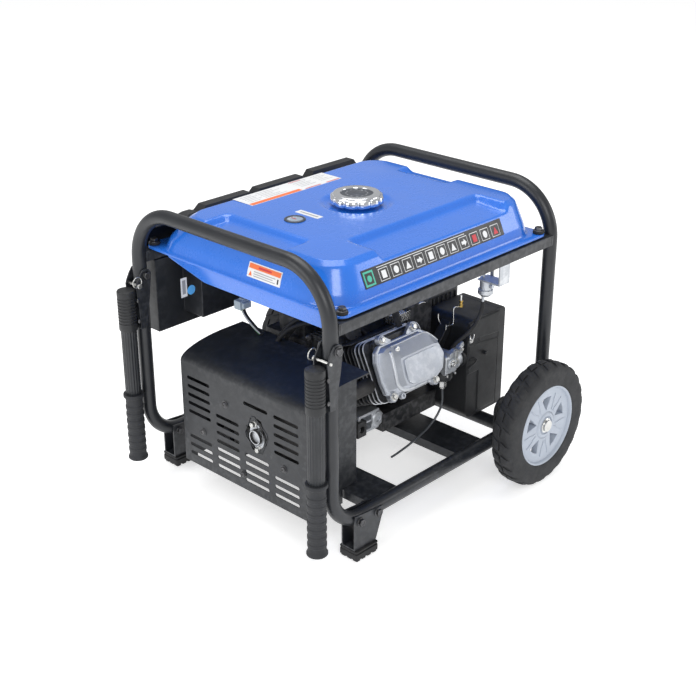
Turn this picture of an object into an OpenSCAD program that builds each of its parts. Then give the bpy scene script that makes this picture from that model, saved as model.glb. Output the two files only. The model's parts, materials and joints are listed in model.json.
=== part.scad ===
// Open-frame portable generator: tube frame on two wheels and two feet, steel fuel tank, air-cooled engine,
// alternator, muffler behind a louvred cover, control panel and two folding handles.
// X runs from the handle end (-) to the wheel end (+), -Y is the engine's valve cover side, +Y is the panel
// side, Z is up from the floor.

/* [Frame] */
// Half of the length between the two hoops, centre to centre
hoop_x = 309; // [300:1:320]
// Half of the width between the legs, centre to centre
hoop_y = 251; // [245:1:260]
// Height of the hoops' top bars, centre
hoop_top_z = 563; // [560:1:600]
// Height of the bottom rails, centre
rail_z = 79; // [76:1:84]
// Outside diameter of the frame tube
tube_d = 27; // [25:0.5:28]
// Wall thickness of the frame tube
tube_wall = 1.8; // [1.2:0.1:2.5]

/* [Wheels] */
// Radius of the tyre
tyre_r = 127; // [124:1:128]
// Width of the tyre
tyre_w = 48; // [44:1:48]
// Position of the axle along the frame
axle_x = 200; // [196:1:204]
// Radius of the axle
axle_r = 8; // [7:0.5:9]

/* [Tank] */
// Height of the tank's joint flange
flange_z = 480; // [479:0.5:484]
// Height of the flat top of the tank
tank_top_z = 552; // [540:1:556]
// Radius of the fuel cap
cap_r = 52; // [44:1:54]

/* [Engine] */
// Height of the crankshaft
crank_z = 178; // [177:0.5:180]
// Sideways position of the crankshaft
crank_y = 60; // [60:1:62]
// Lean of the cylinder above the horizontal, degrees
cylinder_lean = 25; // [24:1:26]

/* [Handles] */
// Height of the handle's pivot bolt
pivot_z = 432; // [420:1:436]
// Radius of the handle bar
bar_r = 15.5; // [13:0.5:15.5]
// Length of the handle from its cap to the end of its grip
handle_len = 360; // [320:1:365]

/* [Hidden] */
$fn = 48;

tube_r = tube_d / 2;
hoop_bend_r = 100;
rail_bend_r = 75;

black_steel = [0.08, 0.08, 0.09];
black_plastic = [0.11, 0.11, 0.12];
tank_blue = [0.12, 0.32, 0.80];
cast_alloy = [0.62, 0.63, 0.65];
zinc = [0.72, 0.72, 0.70];
rim_grey = [0.66, 0.69, 0.74];

// Side beams and the channels between the rails
beam_w = 24;
beam_h = 20;
beam_z = 465;
member_wall = 3;
member_top_z = 84;
member_h = 18;
member_spans = [[-199, -120], [52, 133]];
end_tube_x = 213;

// Feet
foot_x = -266;
foot_len = 56;
foot_top_len = 75;
foot_bolt_x = [-252, -206];
pad_h = 22;
foot_gap = tube_r;
foot_wall = 3.2;

// Wheels: the outer face of the tyre, the end of the axle and the plates on the rail
wheel_face_y = 346;
axle_end_y = 350;
bracket_t = 3.5;
rim_r = 83;

// Handles
handle_dx = -36;
sleeve_r = 18;
collar_r = 20.5;
sleeve_len = 82;
cap_top_dz = -24;
plate_gap = 13.9;
plate_t = 3;
pin_dx = -17.5;
pin_dz = -17.5;
pivot_r = 4;
pin_r = 3;
// The frame's centre lies this far from the middle of the whole object, because the handles stand out
frame_shift = (hoop_x - handle_dx + collar_r - axle_x - tyre_r) / 2;

// Tank
tank_flange = [290, 258];
flange_t = 2;
filler_x = 17;
filler_y = -5;
tank_bolt = [275, 245];

// Cylinder: distances from the crankshaft along its axis
barrel_s = [100, 200];
head_s = [200, 242];
cover_s = [242, 270];
fin_pitch = 11;
cyl_x = -18;

// Muffler cover
shield_x = -292;
shield_y = [-176, 166];
shield_z = 57;
shield_wall_z = 272;
shield_top_z = 302;
shield_t = 1.5;
slot_pitch = 18;
slot_base_z = 80;
slot_w = 64;
slot_h = 7;
slot_columns = [[117, [0, 1, 2, 5, 6, 7, 8, 9]], [37, [0, 1, 2, 3, 4, 5, 6]], [-42, [0, 1, 2, 3, 9]],
                [-122, [0, 1, 2, 5, 6, 7, 8, 9]]];
shield_screws = [[41, 220], [108, 137], [-4, 89], [-115, 143]];
outlet_y = -41;
outlet_z = 181;
flange_tilt = 14;

// Control panel
panel_x = [-281, 275];
panel_z = [304, 452];
panel_face_y = 271;
socket_x = [-215, -135, -55];
socket_z = 372;
lock_socket_x = 45;
switch_pos = [205, 405];
breaker_pos = [130, 345];
stud_pos = [240, 330];
flap_hinge_z = 403;
hood_pads = [[-209, -171, 527], [-167, -30, 534], [-25, 116, 535], [128, 270, 538]];

// The short vent tube under the carburettor, from its fitting to its bare end
vent_r = 2.3;
vent_route = [
    [101, -160, 181], [102, -160, 171], [103, -160, 160], [102, -160, 149], [98, -160, 138],
    [91, -159, 127], [82, -158, 117], [71, -157, 109], [59, -156, 102], [46, -155, 97], [33, -154, 92],
    [19, -153, 88], [5, -152, 84], [-9, -151, 81], [-23, -151, 79], [-37, -150, 77]
];
// The fuel hose, held by the fuel valve and the carburettor
hose_r = 4;
hose_route = [
    [181, -190, 352], [181, -190, 342], [177, -190, 330], [170, -190, 319], [161, -190, 310],
    [150, -189, 302], [139, -186, 294], [129, -180, 285], [121, -173, 275], [118, -168, 265],
    [118, -166, 257.2]
];
// The harness, held by the panel's housing and the alternator
harness_r = 6;
harness_route = [
    [-80, 185, 380], [-82, 172, 378], [-86, 158, 372], [-92, 144, 362], [-98, 130, 350],
    [-104, 116, 337], [-110, 102, 323], [-115, 90, 309], [-118, 80, 294], [-119, 74, 280],
    [-120, 70, 266], [-120, 70, 257]
];

function cross3(a, b) = [a[1] * b[2] - a[2] * b[1], a[2] * b[0] - a[0] * b[2], a[0] * b[1] - a[1] * b[0]];
function unit(v) = v / norm(v);
// Direction of a route at point i, from its neighbours
function heading(route, i) =
    unit(route[min(i + 1, len(route) - 1)] - route[max(i - 1, 0)]);
// One ring of a swept tube, kept upright by the fixed side direction
function ring(route, i, r, sides, side) =
    let (t = heading(route, i), u = unit(cross3(t, side)), w = cross3(t, u))
    [for (k = [0 : sides - 1]) route[i] + r * (cos(360 * k / sides) * u + sin(360 * k / sides) * w)];
function ring_faces(rings, sides) = [
    for (i = [0 : rings - 2], k = [0 : sides - 1])
        [i * sides + k, i * sides + (k + 1) % sides, (i + 1) * sides + (k + 1) % sides,
         (i + 1) * sides + k]
];

// A round tube along a route
module swept_tube(route, r, sides, side) {
    rings = len(route);
    polyhedron(
        points = [for (i = [0 : rings - 1]) each ring(route, i, r, sides, side)],
        faces = concat(
            [[for (k = [0 : sides - 1]) sides - 1 - k]],
            ring_faces(rings, sides),
            [[for (k = [0 : sides - 1]) (rings - 1) * sides + k]]));
}

module place() translate([frame_shift, 0, 0]) children();

module both_sides() {
    children();
    mirror([0, 1, 0]) children();
}

// Cylinder along X or Y from a start point
module rod_x(p, r, h) translate(p) rotate([0, 90, 0]) cylinder(r = r, h = h);
module rod_y(p, r, h) translate(p) rotate([-90, 0, 0]) cylinder(r = r, h = h);

module pipe(length, r = tube_r, wall = tube_wall) {
    difference() {
        cylinder(r = r, h = length);
        translate([0, 0, -1]) cylinder(r = r - wall, h = length + 2);
    }
}

module elbow(bend_r, r = tube_r, wall = tube_wall) {
    rotate_extrude(angle = 90) translate([bend_r, 0]) difference() {
        circle(r = r);
        circle(r = r - wall);
    }
}

// Box between two corners
module block(a, b) translate(a) cube(b - a);

// Rectangle with round corners, exact
module round_rect(size, r) {
    translate([r, 0]) square([size[0] - 2 * r, size[1]]);
    translate([0, r]) square([size[0], size[1] - 2 * r]);
    for (x = [r, size[0] - r], y = [r, size[1] - r]) translate([x, y]) circle(r = r);
}

// Hexagon bolt head with a washer, pointing along +Z from its seat
module bolt_head(across, washer_r) {
    cylinder(r = washer_r, h = 1.6);
    translate([0, 0, 1.6]) cylinder(r = across / 2, h = 5, $fn = 6);
}

// ---------------------------------------------------------------- frame

// Half of a hoop with the half rail that it bends into, at the handle end, -Y side
module half_hoop() {
    top_y = hoop_y - hoop_bend_r;
    leg_base = rail_z + rail_bend_r;
    translate([rail_bend_r - hoop_x, -hoop_y, rail_z]) rotate([0, 90, 0]) pipe(hoop_x - rail_bend_r);
    translate([rail_bend_r - hoop_x, -hoop_y, leg_base]) rotate([90, 0, 0]) rotate([0, 0, 180])
        elbow(rail_bend_r);
    translate([-hoop_x, -hoop_y, leg_base]) pipe(hoop_top_z - hoop_bend_r - leg_base);
    translate([-hoop_x, -top_y, hoop_top_z - hoop_bend_r]) rotate([90, 0, 90]) rotate([0, 0, 90])
        elbow(hoop_bend_r);
    translate([-hoop_x, -top_y, hoop_top_z]) rotate([-90, 0, 0]) pipe(top_y);
}

module hoop_handle_end() place() color(black_steel) difference() {
    both_sides() half_hoop();
    both_sides() {
        rod_y([-hoop_x, -hoop_y - 20, pivot_z], pivot_r, 40);
        for (x = foot_bolt_x) rod_y([x, -hoop_y - 20, rail_z], pivot_r, 40);
    }
}

module hoop_wheel_end() place() color(black_steel) mirror([1, 0, 0]) both_sides() half_hoop();

module side_beam() {
    difference() {
        block([-hoop_x, -hoop_y - beam_w / 2, beam_z - beam_h / 2],
              [hoop_x, -hoop_y + beam_w / 2, beam_z + beam_h / 2]);
        block([-hoop_x - 1, -hoop_y - beam_w / 2 + 2, beam_z - beam_h / 2 + 2],
              [hoop_x + 1, -hoop_y + beam_w / 2 - 2, beam_z + beam_h / 2 - 2]);
        for (x = [-hoop_x, hoop_x]) translate([x, -hoop_y, 0]) cylinder(r = tube_r + 0.8, h = 600);
        for (x = [-tank_bolt[0], tank_bolt[0]]) translate([x, -tank_bolt[1], beam_z])
            cylinder(r = pivot_r, h = beam_h);
    }
}

// Pressed channel between the rails, open below
module channel(span) {
    difference() {
        block([span[0], -hoop_y, member_top_z - member_h], [span[1], hoop_y, member_top_z]);
        block([span[0] + member_wall, -hoop_y - 1, member_top_z - member_h - 1],
              [span[1] - member_wall, hoop_y + 1, member_top_z - member_wall]);
        for (y = [-hoop_y, hoop_y])
            rod_x([span[0] - 1, y, rail_z], tube_r + 0.1, span[1] - span[0] + 2);
        for (y = mount_y) translate([mount_x(span), y, member_top_z - 10]) cylinder(r = 5, h = 20);
        both_sides() block([foot_x, foot_gap - hoop_y - 0.3, member_top_z - member_h - 1],
                           [foot_x + foot_top_len + 0.3, foot_gap + foot_wall - hoop_y + 0.3,
                            member_top_z + 1]);
    }
}

module frame_members() place() color(black_steel) {
    both_sides() side_beam();
    for (span = member_spans) channel(span);
    difference() {
        rod_y([end_tube_x, -hoop_y, rail_z], tube_r, 2 * hoop_y);
        rod_y([end_tube_x, -hoop_y - 1, rail_z], tube_r - tube_wall, 2 * hoop_y + 2);
        for (y = [-hoop_y, hoop_y]) rod_x([end_tube_x - 30, y, rail_z], tube_r, 60);
    }
}

// Two plates on each rail that carry the wheel's stub axle
module axle_brackets() place() color(black_steel) both_sides()
    for (y = [-hoop_y - tube_r - bracket_t, -hoop_y + tube_r]) difference() {
        union() {
            block([axle_x - 25, y, rail_z - 6], [axle_x + 25, y + bracket_t, tyre_r]);
            rod_y([axle_x, y, tyre_r], 25, bracket_t);
        }
        rod_y([axle_x, y - 1, tyre_r], axle_r + 0.05, bracket_t + 2);
        rod_y([end_tube_x, y - 1, rail_z], tube_r, bracket_t + 2);
    }

// Stub axle with its head and the spacer between bracket and hub
module axle() place() color(zinc) both_sides() {
    rod_y([axle_x, -wheel_face_y, tyre_r], axle_r, wheel_face_y - hoop_y + 20);
    rod_y([axle_x, -axle_end_y, tyre_r], 12, axle_end_y - wheel_face_y + 1.2);
    difference() {
        rod_y([axle_x, -wheel_face_y + tyre_w - 1.5, tyre_r], 13,
              wheel_face_y - tyre_w + 1.5 - hoop_y - tube_r - bracket_t);
        rod_y([axle_x, -wheel_face_y + tyre_w - 5, tyre_r], axle_r, 60);
    }
}

// Folded foot: two cheeks on the rail and a sole plate
module foot_bracket() {
    cheek = [[foot_x, pad_h], [foot_x, rail_z + 15], [foot_x + foot_top_len, rail_z + 8],
             [foot_x + foot_top_len, rail_z - 2], [foot_x + foot_len - 1, pad_h]];
    difference() {
        union() {
            for (y = [-hoop_y - foot_gap - foot_wall, -hoop_y + foot_gap])
                translate([0, y + foot_wall, 0]) rotate([90, 0, 0]) linear_extrude(foot_wall)
                    polygon(cheek);
            block([foot_x, -hoop_y - foot_gap, pad_h],
                  [foot_x + foot_len - 1, -hoop_y + foot_gap, pad_h + 3]);
        }
        for (x = foot_bolt_x) rod_y([x, -hoop_y - 20, rail_z], pivot_r, 40);
    }
}

module foot_brackets() place() color(black_steel) both_sides() foot_bracket();

// Ribbed rubber pad under each foot
module foot_pads() place() color(black_plastic) both_sides() difference() {
    block([foot_x - 1, -hoop_y - 22, 0], [foot_x + foot_len + 1, -hoop_y + 22, pad_h]);
    for (i = [0 : 3]) translate([foot_x + 9 + 13 * i, -hoop_y - 30, -1]) cube([4, 60, 5]);
    for (i = [0 : 2]) translate([foot_x - 5, -hoop_y - 13 + 11 * i, -1]) cube([foot_len + 10, 4, 5]);
    for (s = [-1, 1]) translate([foot_x - 5, -hoop_y + s * 22 - 1, 11]) cube([foot_len + 10, 2, 2]);
}

// Bolts that hold the feet, the handles' pivots and the tank, and the axle's end washers
module frame_bolts() place() color(zinc) both_sides() {
    for (x = foot_bolt_x) {
        rod_y([x, -hoop_y - 17, rail_z], pivot_r - 0.05, 34);
        translate([x, -hoop_y - foot_gap - foot_wall, rail_z]) rotate([90, 0, 0]) bolt_head(13, 8);
        translate([x, -hoop_y + foot_gap + foot_wall, rail_z]) rotate([-90, 0, 0]) bolt_head(13, 7);
    }
    rod_y([-hoop_x, -hoop_y - 17.4, pivot_z], pivot_r - 0.08, 34.8);
    translate([-hoop_x, -hoop_y - 17.3, pivot_z]) rotate([90, 0, 0]) bolt_head(13, 8);
    translate([-hoop_x, -hoop_y + 17.3, pivot_z]) rotate([-90, 0, 0]) bolt_head(13, 7);
    for (x = [-tank_bolt[0], tank_bolt[0]]) translate([x, -tank_bolt[1], 0]) {
        translate([0, 0, beam_z + 4]) cylinder(r = pivot_r - 0.1, h = flange_z + 5 - beam_z);
        translate([0, 0, flange_z + 8]) bolt_head(13, 10);
    }
}

// ---------------------------------------------------------------- wheels

// Tread profile with rounded shoulders, from the rim outwards
module tyre(side) place() color([0.05, 0.05, 0.055]) translate([axle_x, side * wheel_face_y, tyre_r])
    rotate([side * 90, 0, 0]) rotate_extrude($fn = 96) polygon([
        [rim_r - 8, 5], [rim_r, 1.5], [rim_r + 8, 0], [tyre_r - 11, 1], [tyre_r - 4, 4], [tyre_r, 10],
        [tyre_r, tyre_w - 10], [tyre_r - 4, tyre_w - 4], [tyre_r - 11, tyre_w - 1], [rim_r + 8, tyre_w],
        [rim_r, tyre_w - 1.5], [rim_r - 8, tyre_w - 5]]);

// Moulded rim: bed, dished disc with five windows, hub that runs on the axle
module wheel_rim(side) place() color(rim_grey) translate([axle_x, side * wheel_face_y, tyre_r])
    rotate([side * 90, 0, 0]) difference() {
        rotate_extrude($fn = 96) polygon([
            [axle_r + 0.08, 2], [22, 2], [23, 8], [30, 12], [rim_r - 15, 11], [rim_r - 12, 5],
            [rim_r - 8, 5], [rim_r - 8, tyre_w - 5], [rim_r - 12, tyre_w - 5], [rim_r - 15, 20],
            [30, 22], [23, tyre_w - 2], [axle_r + 0.08, tyre_w - 2]]);
        for (i = [0 : 4]) rotate([0, 0, 72 * i + 18]) translate([0, 0, 5]) linear_extrude(22)
            polygon([[42, -3], [42, 3], [64, 15], [64, -15]]);
    }

// ---------------------------------------------------------------- handles

// Moves a handle's own drawing, made round its pivot, to the leg
module at_handle(side) place() translate([-hoop_x, side * hoop_y, pivot_z])
    mirror([0, side > 0 ? 1 : 0, 0]) children();

// Pivot plates on both sides of the leg, the web in front of it, the bar with its sleeve and cap
module handle_arm(side) at_handle(side) {
    lower = cap_top_dz - sleeve_len;
    color(black_steel) difference() {
        union() {
            for (y = [-plate_gap - plate_t, plate_gap]) {
                rod_y([0, y, 0], 13, plate_t);
                rod_y([pin_dx, y, pin_dz], 7, plate_t);
                translate([0, y + plate_t, 0]) rotate([90, 0, 0]) linear_extrude(plate_t) polygon([
                    [-7, 11], [9, 9], [13, 0], [-5, lower], [-18, lower], [-23, -24], [-24, -19]]);
            }
            block([-18, -plate_gap, lower], [-15, plate_gap, -30]);
        }
        rod_y([0, -20, 0], pivot_r, 40);
        rod_y([pin_dx, -20, pin_dz], pin_r + 0.08, 40);
    }
    color(black_plastic) {
        translate([handle_dx, 0, lower]) cylinder(r = sleeve_r, h = sleeve_len);
        translate([handle_dx, 0, cap_top_dz - handle_len + 100])
            cylinder(r = bar_r, h = handle_len - 100 - sleeve_len);
    }
}

module handle_grip(side) at_handle(side) color(black_plastic)
    translate([handle_dx, 0, cap_top_dz - handle_len]) rotate_extrude() polygon([
        [0, 0], [17, 0], [19.5, 3], [19.5, 6], [16.8, 10], [16.8, 132], [17.5, 136], [collar_r, 138],
        [collar_r, 144], [bar_r, 144], [bar_r, 100], [0, 100]]);

// Pin through both plates, with its head and pull ring on the inner side
module lock_pin(side) at_handle(side) color(zinc) {
    head_y = plate_gap + plate_t + 0.5;
    rod_y([pin_dx, -plate_gap - plate_t - 2, pin_dz], pin_r, 2 * (plate_gap + plate_t) + 3);
    rod_y([pin_dx, head_y, pin_dz], 5, 4);
    translate([pin_dx - 5, head_y + 2, pin_dz + 9]) rotate([90, 0, 0]) rotate_extrude()
        translate([10, 0]) circle(r = 1.2, $fn = 16);
}

// ---------------------------------------------------------------- tank

module slab(x, y, r, z) translate([x[0], y[0], z]) linear_extrude(1)
    translate([r, r]) offset(r = r, $fn = 32) square([x[1] - x[0] - 2 * r, y[1] - y[0] - 2 * r]);

// Pressed upper form: upright base, sloped walls, flat top. inset makes the inner skin.
module tank_dome(inset) hull() {
    slab([-285 + inset, 285 - inset], [-240 + inset, 240 - inset], 62 - inset, flange_z + flange_t - 1);
    slab([-279 + inset, 279 - inset], [-234 + inset, 228 - inset], 58 - inset, flange_z + 24);
    slab([-262 + inset, 270 - inset], [-215 + inset, 187 - inset], 50 - inset, tank_top_z - 8 - inset);
    slab([-252 + inset, 262 - inset], [-205 + inset, 175 - inset], 44 - inset, tank_top_z - 1 - inset);
}

// Wedge that presses one of the shallow pockets into the tank's top edge
module pocket(inner, outer, floor_in, floor_out) hull() {
    block([inner[0], inner[1], floor_in], [inner[2], inner[3], tank_top_z + 20]);
    block([outer[0], outer[1], floor_out], [outer[2], outer[3], tank_top_z + 20]);
}

// The three pockets; g grows them for the inner skin
module pockets(g) translate([0, 0, -g]) {
    pocket([-206, -90 - g, -195 + g, 115 + g], [-300, -96 - g, -290, 121 + g],
           tank_top_z - 10, tank_top_z - 13);
    pocket([-145 - g, -149, 205 + g, -138 + g], [-151 - g, -300, 211 + g, -290],
           tank_top_z - 11, tank_top_z - 20);
    pocket([228 - g, -46 - g, 240, 75 + g], [290, -52 - g, 300, 81 + g],
           tank_top_z - 9, tank_top_z - 12);
}

module tank_bolt_holes(r) for (x = [-tank_bolt[0], tank_bolt[0]], y = [-tank_bolt[1], tank_bolt[1]])
    translate([x, y, flange_z - 10]) cylinder(r = r, h = 20);

module tank_upper() place() color(tank_blue) difference() {
    union() {
        translate([-tank_flange[0], -tank_flange[1], flange_z]) linear_extrude(flange_t)
            round_rect(2 * tank_flange, 20);
        difference() {
            tank_dome(0);
            pockets(0);
        }
    }
    difference() {
        translate([0, 0, -0.5]) tank_dome(2);
        pockets(2);
    }
    translate([-281, -236, flange_z - 1]) linear_extrude(4) round_rect([562, 472], 60);
    translate([filler_x, filler_y, flange_z + 10]) cylinder(r = 23, h = 100);
    tank_bolt_holes(6);
}

// Lower tub between the side beams, shallower towards the panel side
module tank_tub(inset) hull() {
    slab([-283 + inset, 283 - inset], [-232 + inset, 232 - inset], 40 - inset,
         flange_z - flange_t - 1 + inset / 2);
    slab([-281 + inset, 281 - inset], [-230 + inset, 222 - inset], 36 - inset, flange_z - 12);
    slab([-275 + inset, 275 - inset], [-225 + inset, 130 - inset], 30 - inset, flange_z - 38 + inset);
}

module tank_lower() place() color(tank_blue) difference() {
    union() {
        translate([-tank_flange[0], -tank_flange[1], flange_z - flange_t]) linear_extrude(flange_t)
            round_rect(2 * tank_flange, 20);
        tank_tub(0);
    }
    tank_tub(2);
    translate([-281, -230, flange_z - flange_t - 1]) linear_extrude(flange_t + 2) round_rect([562, 460], 38);
    tank_bolt_holes(6);
}

// Rubber bushes between the flange and the beams, and washers above the flange
module tank_bushes() place() color([0.04, 0.04, 0.04])
    for (x = [-tank_bolt[0], tank_bolt[0]], y = [-tank_bolt[1], tank_bolt[1]]) translate([x, y, 0]) {
        for (z = [[beam_z + beam_h / 2, flange_z - flange_t], [flange_z + flange_t, flange_z + 8]])
            translate([0, 0, z[0]]) difference() {
                cylinder(r = 11, h = z[1] - z[0]);
                translate([0, 0, -1]) cylinder(r = pivot_r, h = 20);
            }
    }

// Filler neck with the strainer cup that closes it
module fuel_strainer() place() color(zinc) translate([filler_x, filler_y, tank_top_z - 42])
    rotate_extrude() polygon([[0, 0], [20, 0], [22.5, 2], [22.5, 42], [29, 42], [29, 45.8], [21, 45.8],
        [21, 2.8], [19.6, 1.6], [0, 1.6]]);

// Fluted cap: a skirt outside the neck, twelve finger lobes round the rim
module fuel_cap() place() color([0.85, 0.86, 0.88]) translate([filler_x, filler_y, tank_top_z]) {
    difference() {
        union() {
            translate([0, 0, 1]) cylinder(r = cap_r - 4, h = 15, $fn = 96);
            translate([0, 0, 16]) cylinder(r1 = cap_r - 4, r2 = cap_r - 8, h = 4, $fn = 96);
            for (i = [0 : 11]) rotate([0, 0, 30 * i]) translate([cap_r - 11, 0, 2])
                cylinder(r = 11, h = 14);
        }
        translate([0, 0, -1]) cylinder(r = 30, h = 12);
        translate([0, 0, 10]) cylinder(r = 12.08, h = 4);
    }
}

// Bayonet insert with its gasket: it lifts out of the neck with the cap, which turns on its boss
module fuel_cap_insert() place() color(black_plastic) translate([filler_x, filler_y, tank_top_z]) {
    translate([0, 0, 4.2]) cylinder(r = 29, h = 6.3);
    translate([0, 0, -6]) cylinder(r = 20, h = 10.2);
    translate([0, 0, 10.5]) cylinder(r = 12, h = 3.2);
}

module fuel_gauge() place() color([0.55, 0.57, 0.6]) translate([-137, 5, tank_top_z]) {
    cylinder(r = 20, h = 3);
    translate([0, 0, 3]) cylinder(r = 15, h = 1);
}

// ---------------------------------------------------------------- fuel valve

valve_pos = [188, -190, 388];

module fuel_valve() place() color(zinc) {
    translate(valve_pos) {
        translate([0, 0, -12]) cylinder(r = 12, h = 24);
        translate([0, 0, -26]) cylinder(r1 = 9, r2 = 15, h = 6);
        translate([0, 0, -20]) cylinder(r = 15, h = 8);
        rod_x([8, 0, 2], 9, 10);
        rod_y([0, -18, -2], 5, 8);
        translate([-7, 0, -36]) cylinder(r = 3, h = 20);
        translate([-7, 0, 8]) cylinder(r = 3, h = 26);
    }
    translate(valve_pos) {
        block([-22, -46, 12], [10, 4, 15]);
        block([-22, -49, 12], [10, -46, 67]);
    }
}

module fuel_valve_lever() place() color(zinc) translate(valve_pos) {
    rod_x([18.3, 0, 2], 7, 4);
    block([18.3, -4, 2], [21.3, 4, 26]);
}

module fuel_hose() place() color([0.03, 0.03, 0.03]) swept_tube(hose_route, hose_r, 8, [0, 1, 0]);

// ---------------------------------------------------------------- engine

mount_y = [crank_y - 100, crank_y + 100];
function mount_x(span) = (span[0] + span[1]) / 2;
base_z = 110;
base_t = 8;
bearing_r = 15;
sump_y = -112;

// Moves a drawing made along +Z from the crankshaft onto the leaning cylinder axis
module on_cylinder() place() translate([cyl_x, crank_y, crank_z]) rotate([90 - cylinder_lean, 0, 0])
    children();

module crankcase() place() color(black_steel) difference() {
    union() {
        block([-65, crank_y - 74, base_z], [104, crank_y + 74, crank_z + 62]);
        block([-65, crank_y - 120, base_z], [110, crank_y + 120, base_z + base_t]);
        block([-20, sump_y, base_z + 2], [104, crank_y - 73, base_z + 40]);
        block([103, sump_y, base_z + 2], [140, -36, base_z + 40]);
        rod_x([-65, crank_y, crank_z], 82, 169);
        translate([cyl_x, crank_y, crank_z]) rotate([90 - cylinder_lean, 0, 0])
            translate([-46.5, -58, 40]) cube([108.5, 116, barrel_s[0] - 40]);
        at_dipstick() cylinder(r = 15, h = 26);
    }
    rod_x([-52, crank_y, crank_z], 62, 144);
    rod_x([-80, crank_y, crank_z], bearing_r + 0.08, 200);
    translate([cyl_x, crank_y, crank_z]) rotate([90 - cylinder_lean, 0, 0]) cylinder(r = 44, h = 110);
    for (y = mount_y) translate([92.5, y, base_z - 1]) cylinder(r = 5, h = 30);
    translate([92.5, mount_y[0], base_z + base_t]) cylinder(r = 11, h = 40);
    at_dipstick() translate([0, 0, -20]) cylinder(r = 9.08, h = 60);
}

// The oil filler's slanting boss, low on the valve cover side
module at_dipstick() translate([70, crank_y - 74, base_z + 38]) rotate([50, 0, 0]) children();

// Finned barrel with a square root
module cylinder_barrel() on_cylinder() color(black_steel) difference() {
    union() {
        translate([-52, -52, barrel_s[0]]) cube([104, 104, barrel_s[1] - barrel_s[0]]);
        for (i = [0 : 8]) translate([-76, -60, barrel_s[0] + 5 + fin_pitch * i]) linear_extrude(3)
            round_rect([152, 120], 14);
    }
    translate([0, 0, barrel_s[0] - 1]) cylinder(r = 44, h = 110);
}

module cylinder_head() on_cylinder() color(cast_alloy) {
    translate([-62, -56, head_s[0]]) cube([124, 112, head_s[1] - head_s[0]]);
    for (i = [0 : 2]) translate([-80, -60, head_s[0] + 4 + fin_pitch * i]) linear_extrude(3)
        round_rect([160, 120], 16);
}

// The valve cover's edge, the ridge round its top and its raised flat panel
cover_bolt_at = [[-45, 55], [43, 55], [58, -57], [-60, -52]];
cover_edge = [[-76, -42], [-60, -53], [64, -54], [92, -33], [97, -9], [92, 14], [72, 37], [56, 47], [-58, 47],
              [-70, 38], [-77, 20], [-79, -17]];
cover_ridge = [[-60, -30], [-40, -49], [55, -50], [84, -32], [91, -10], [86, 14], [56, 39], [-50, 38],
               [-63, 20]];
cover_panel = [[-34, -40], [-24, -46], [50, -47], [70, -38], [84, -13], [77, 11], [-31, 12]];

module valve_cover() on_cylinder() color(cast_alloy) difference() {
    union() {
        translate([0, 0, cover_s[0]]) linear_extrude(8) polygon(cover_edge);
        for (p = cover_bolt_at) translate([p[0], p[1], cover_s[0]]) cylinder(r = 10, h = 10);
        hull() {
            translate([0, 0, cover_s[0] + 8]) linear_extrude(1) polygon(0.92 * cover_edge);
            translate([0, 0, cover_s[0] + 17]) linear_extrude(1) polygon(cover_ridge);
            translate([0, 0, cover_s[1] - 1]) linear_extrude(1) polygon(cover_panel);
        }
    }
    for (p = cover_bolt_at) translate([p[0], p[1], cover_s[0] - 1]) {
        cylinder(r = 3.2, h = 40);
        translate([0, 0, 11]) cylinder(r = 7.3, h = 30);
    }
}

// Bolts of the valve cover and screws of the muffler cover
module cover_bolts() {
    on_cylinder() color(zinc) for (p = cover_bolt_at) translate([p[0], p[1], 0]) {
        translate([0, 0, cover_s[0]]) cylinder(r = 3, h = 10.5);
        translate([0, 0, cover_s[0] + 10]) bolt_head(10, 7);
    }
    place() color(black_steel) for (p = shield_screws) translate([shield_x, p[0], p[1]]) rotate([0, -90, 0])
        bolt_head(9, 6.5);
}

// Sheet duct over the barrel that guides the fan's air
module cylinder_shroud() on_cylinder() color(black_steel) {
    translate([-78, 62, barrel_s[0] - 6]) cube([150, 2, 110]);
    translate([-66, 64, barrel_s[0] - 6]) cube([132, 26, 62]);
    translate([-30, 84, barrel_s[0] + 20]) cylinder(r = 22, h = 46);
    translate([78, -50, barrel_s[0] - 6]) cube([2, 114, 70]);
}

module spark_plug() on_cylinder() color(zinc) {
    translate([38, 60, 222]) rotate([-90, 0, 0]) cylinder(r = 6, h = 12);
    translate([38, 72, 222]) rotate([-90, 0, 0]) cylinder(r = 9, h = 8, $fn = 6);
    translate([38, 80, 222]) rotate([-90, 0, 0]) cylinder(r = 7.5, h = 30);
}

carb = [104, -160, 234];
throat_r = 17;
elbow_x = 144.5;
drain_at = [101, -160, 181];

// Carburettor: insulator and throat along X, body, float bowl, drain solenoid with its vent nipple
module carburettor() place() color(zinc) difference() {
    union() {
        rod_x([62.2, carb[1], carb[2]], throat_r, elbow_x - 62.2);
        block(carb + [-18, -20, -16], carb + [18, 20, 24]);
        translate(carb + [0, 0, -40]) cylinder(r = 20, h = 26);
        translate(drain_at) cylinder(r = 6.5, h = 22, $fn = 6);
        block(drain_at + [-5, -7, 18], drain_at + [20, 7, 26]);
        translate(carb + [14, -6, 0]) cylinder(r = hose_r, h = 24 - 1);
    }
    rod_x([60, carb[1], carb[2]], 11, 90);
}

module choke_lever() place() color(zinc) {
    rod_y([carb[0] + 8, carb[1] - 28.3, carb[2] + 10], 5, 8);
    block([carb[0] + 5, carb[1] - 26.3, carb[2] + 10], [carb[0] + 11, carb[1] - 23.3, carb[2] + 40]);
    rod_y([carb[0] + 8, carb[1] - 34, carb[2] + 38], 4, 10);
}

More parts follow.
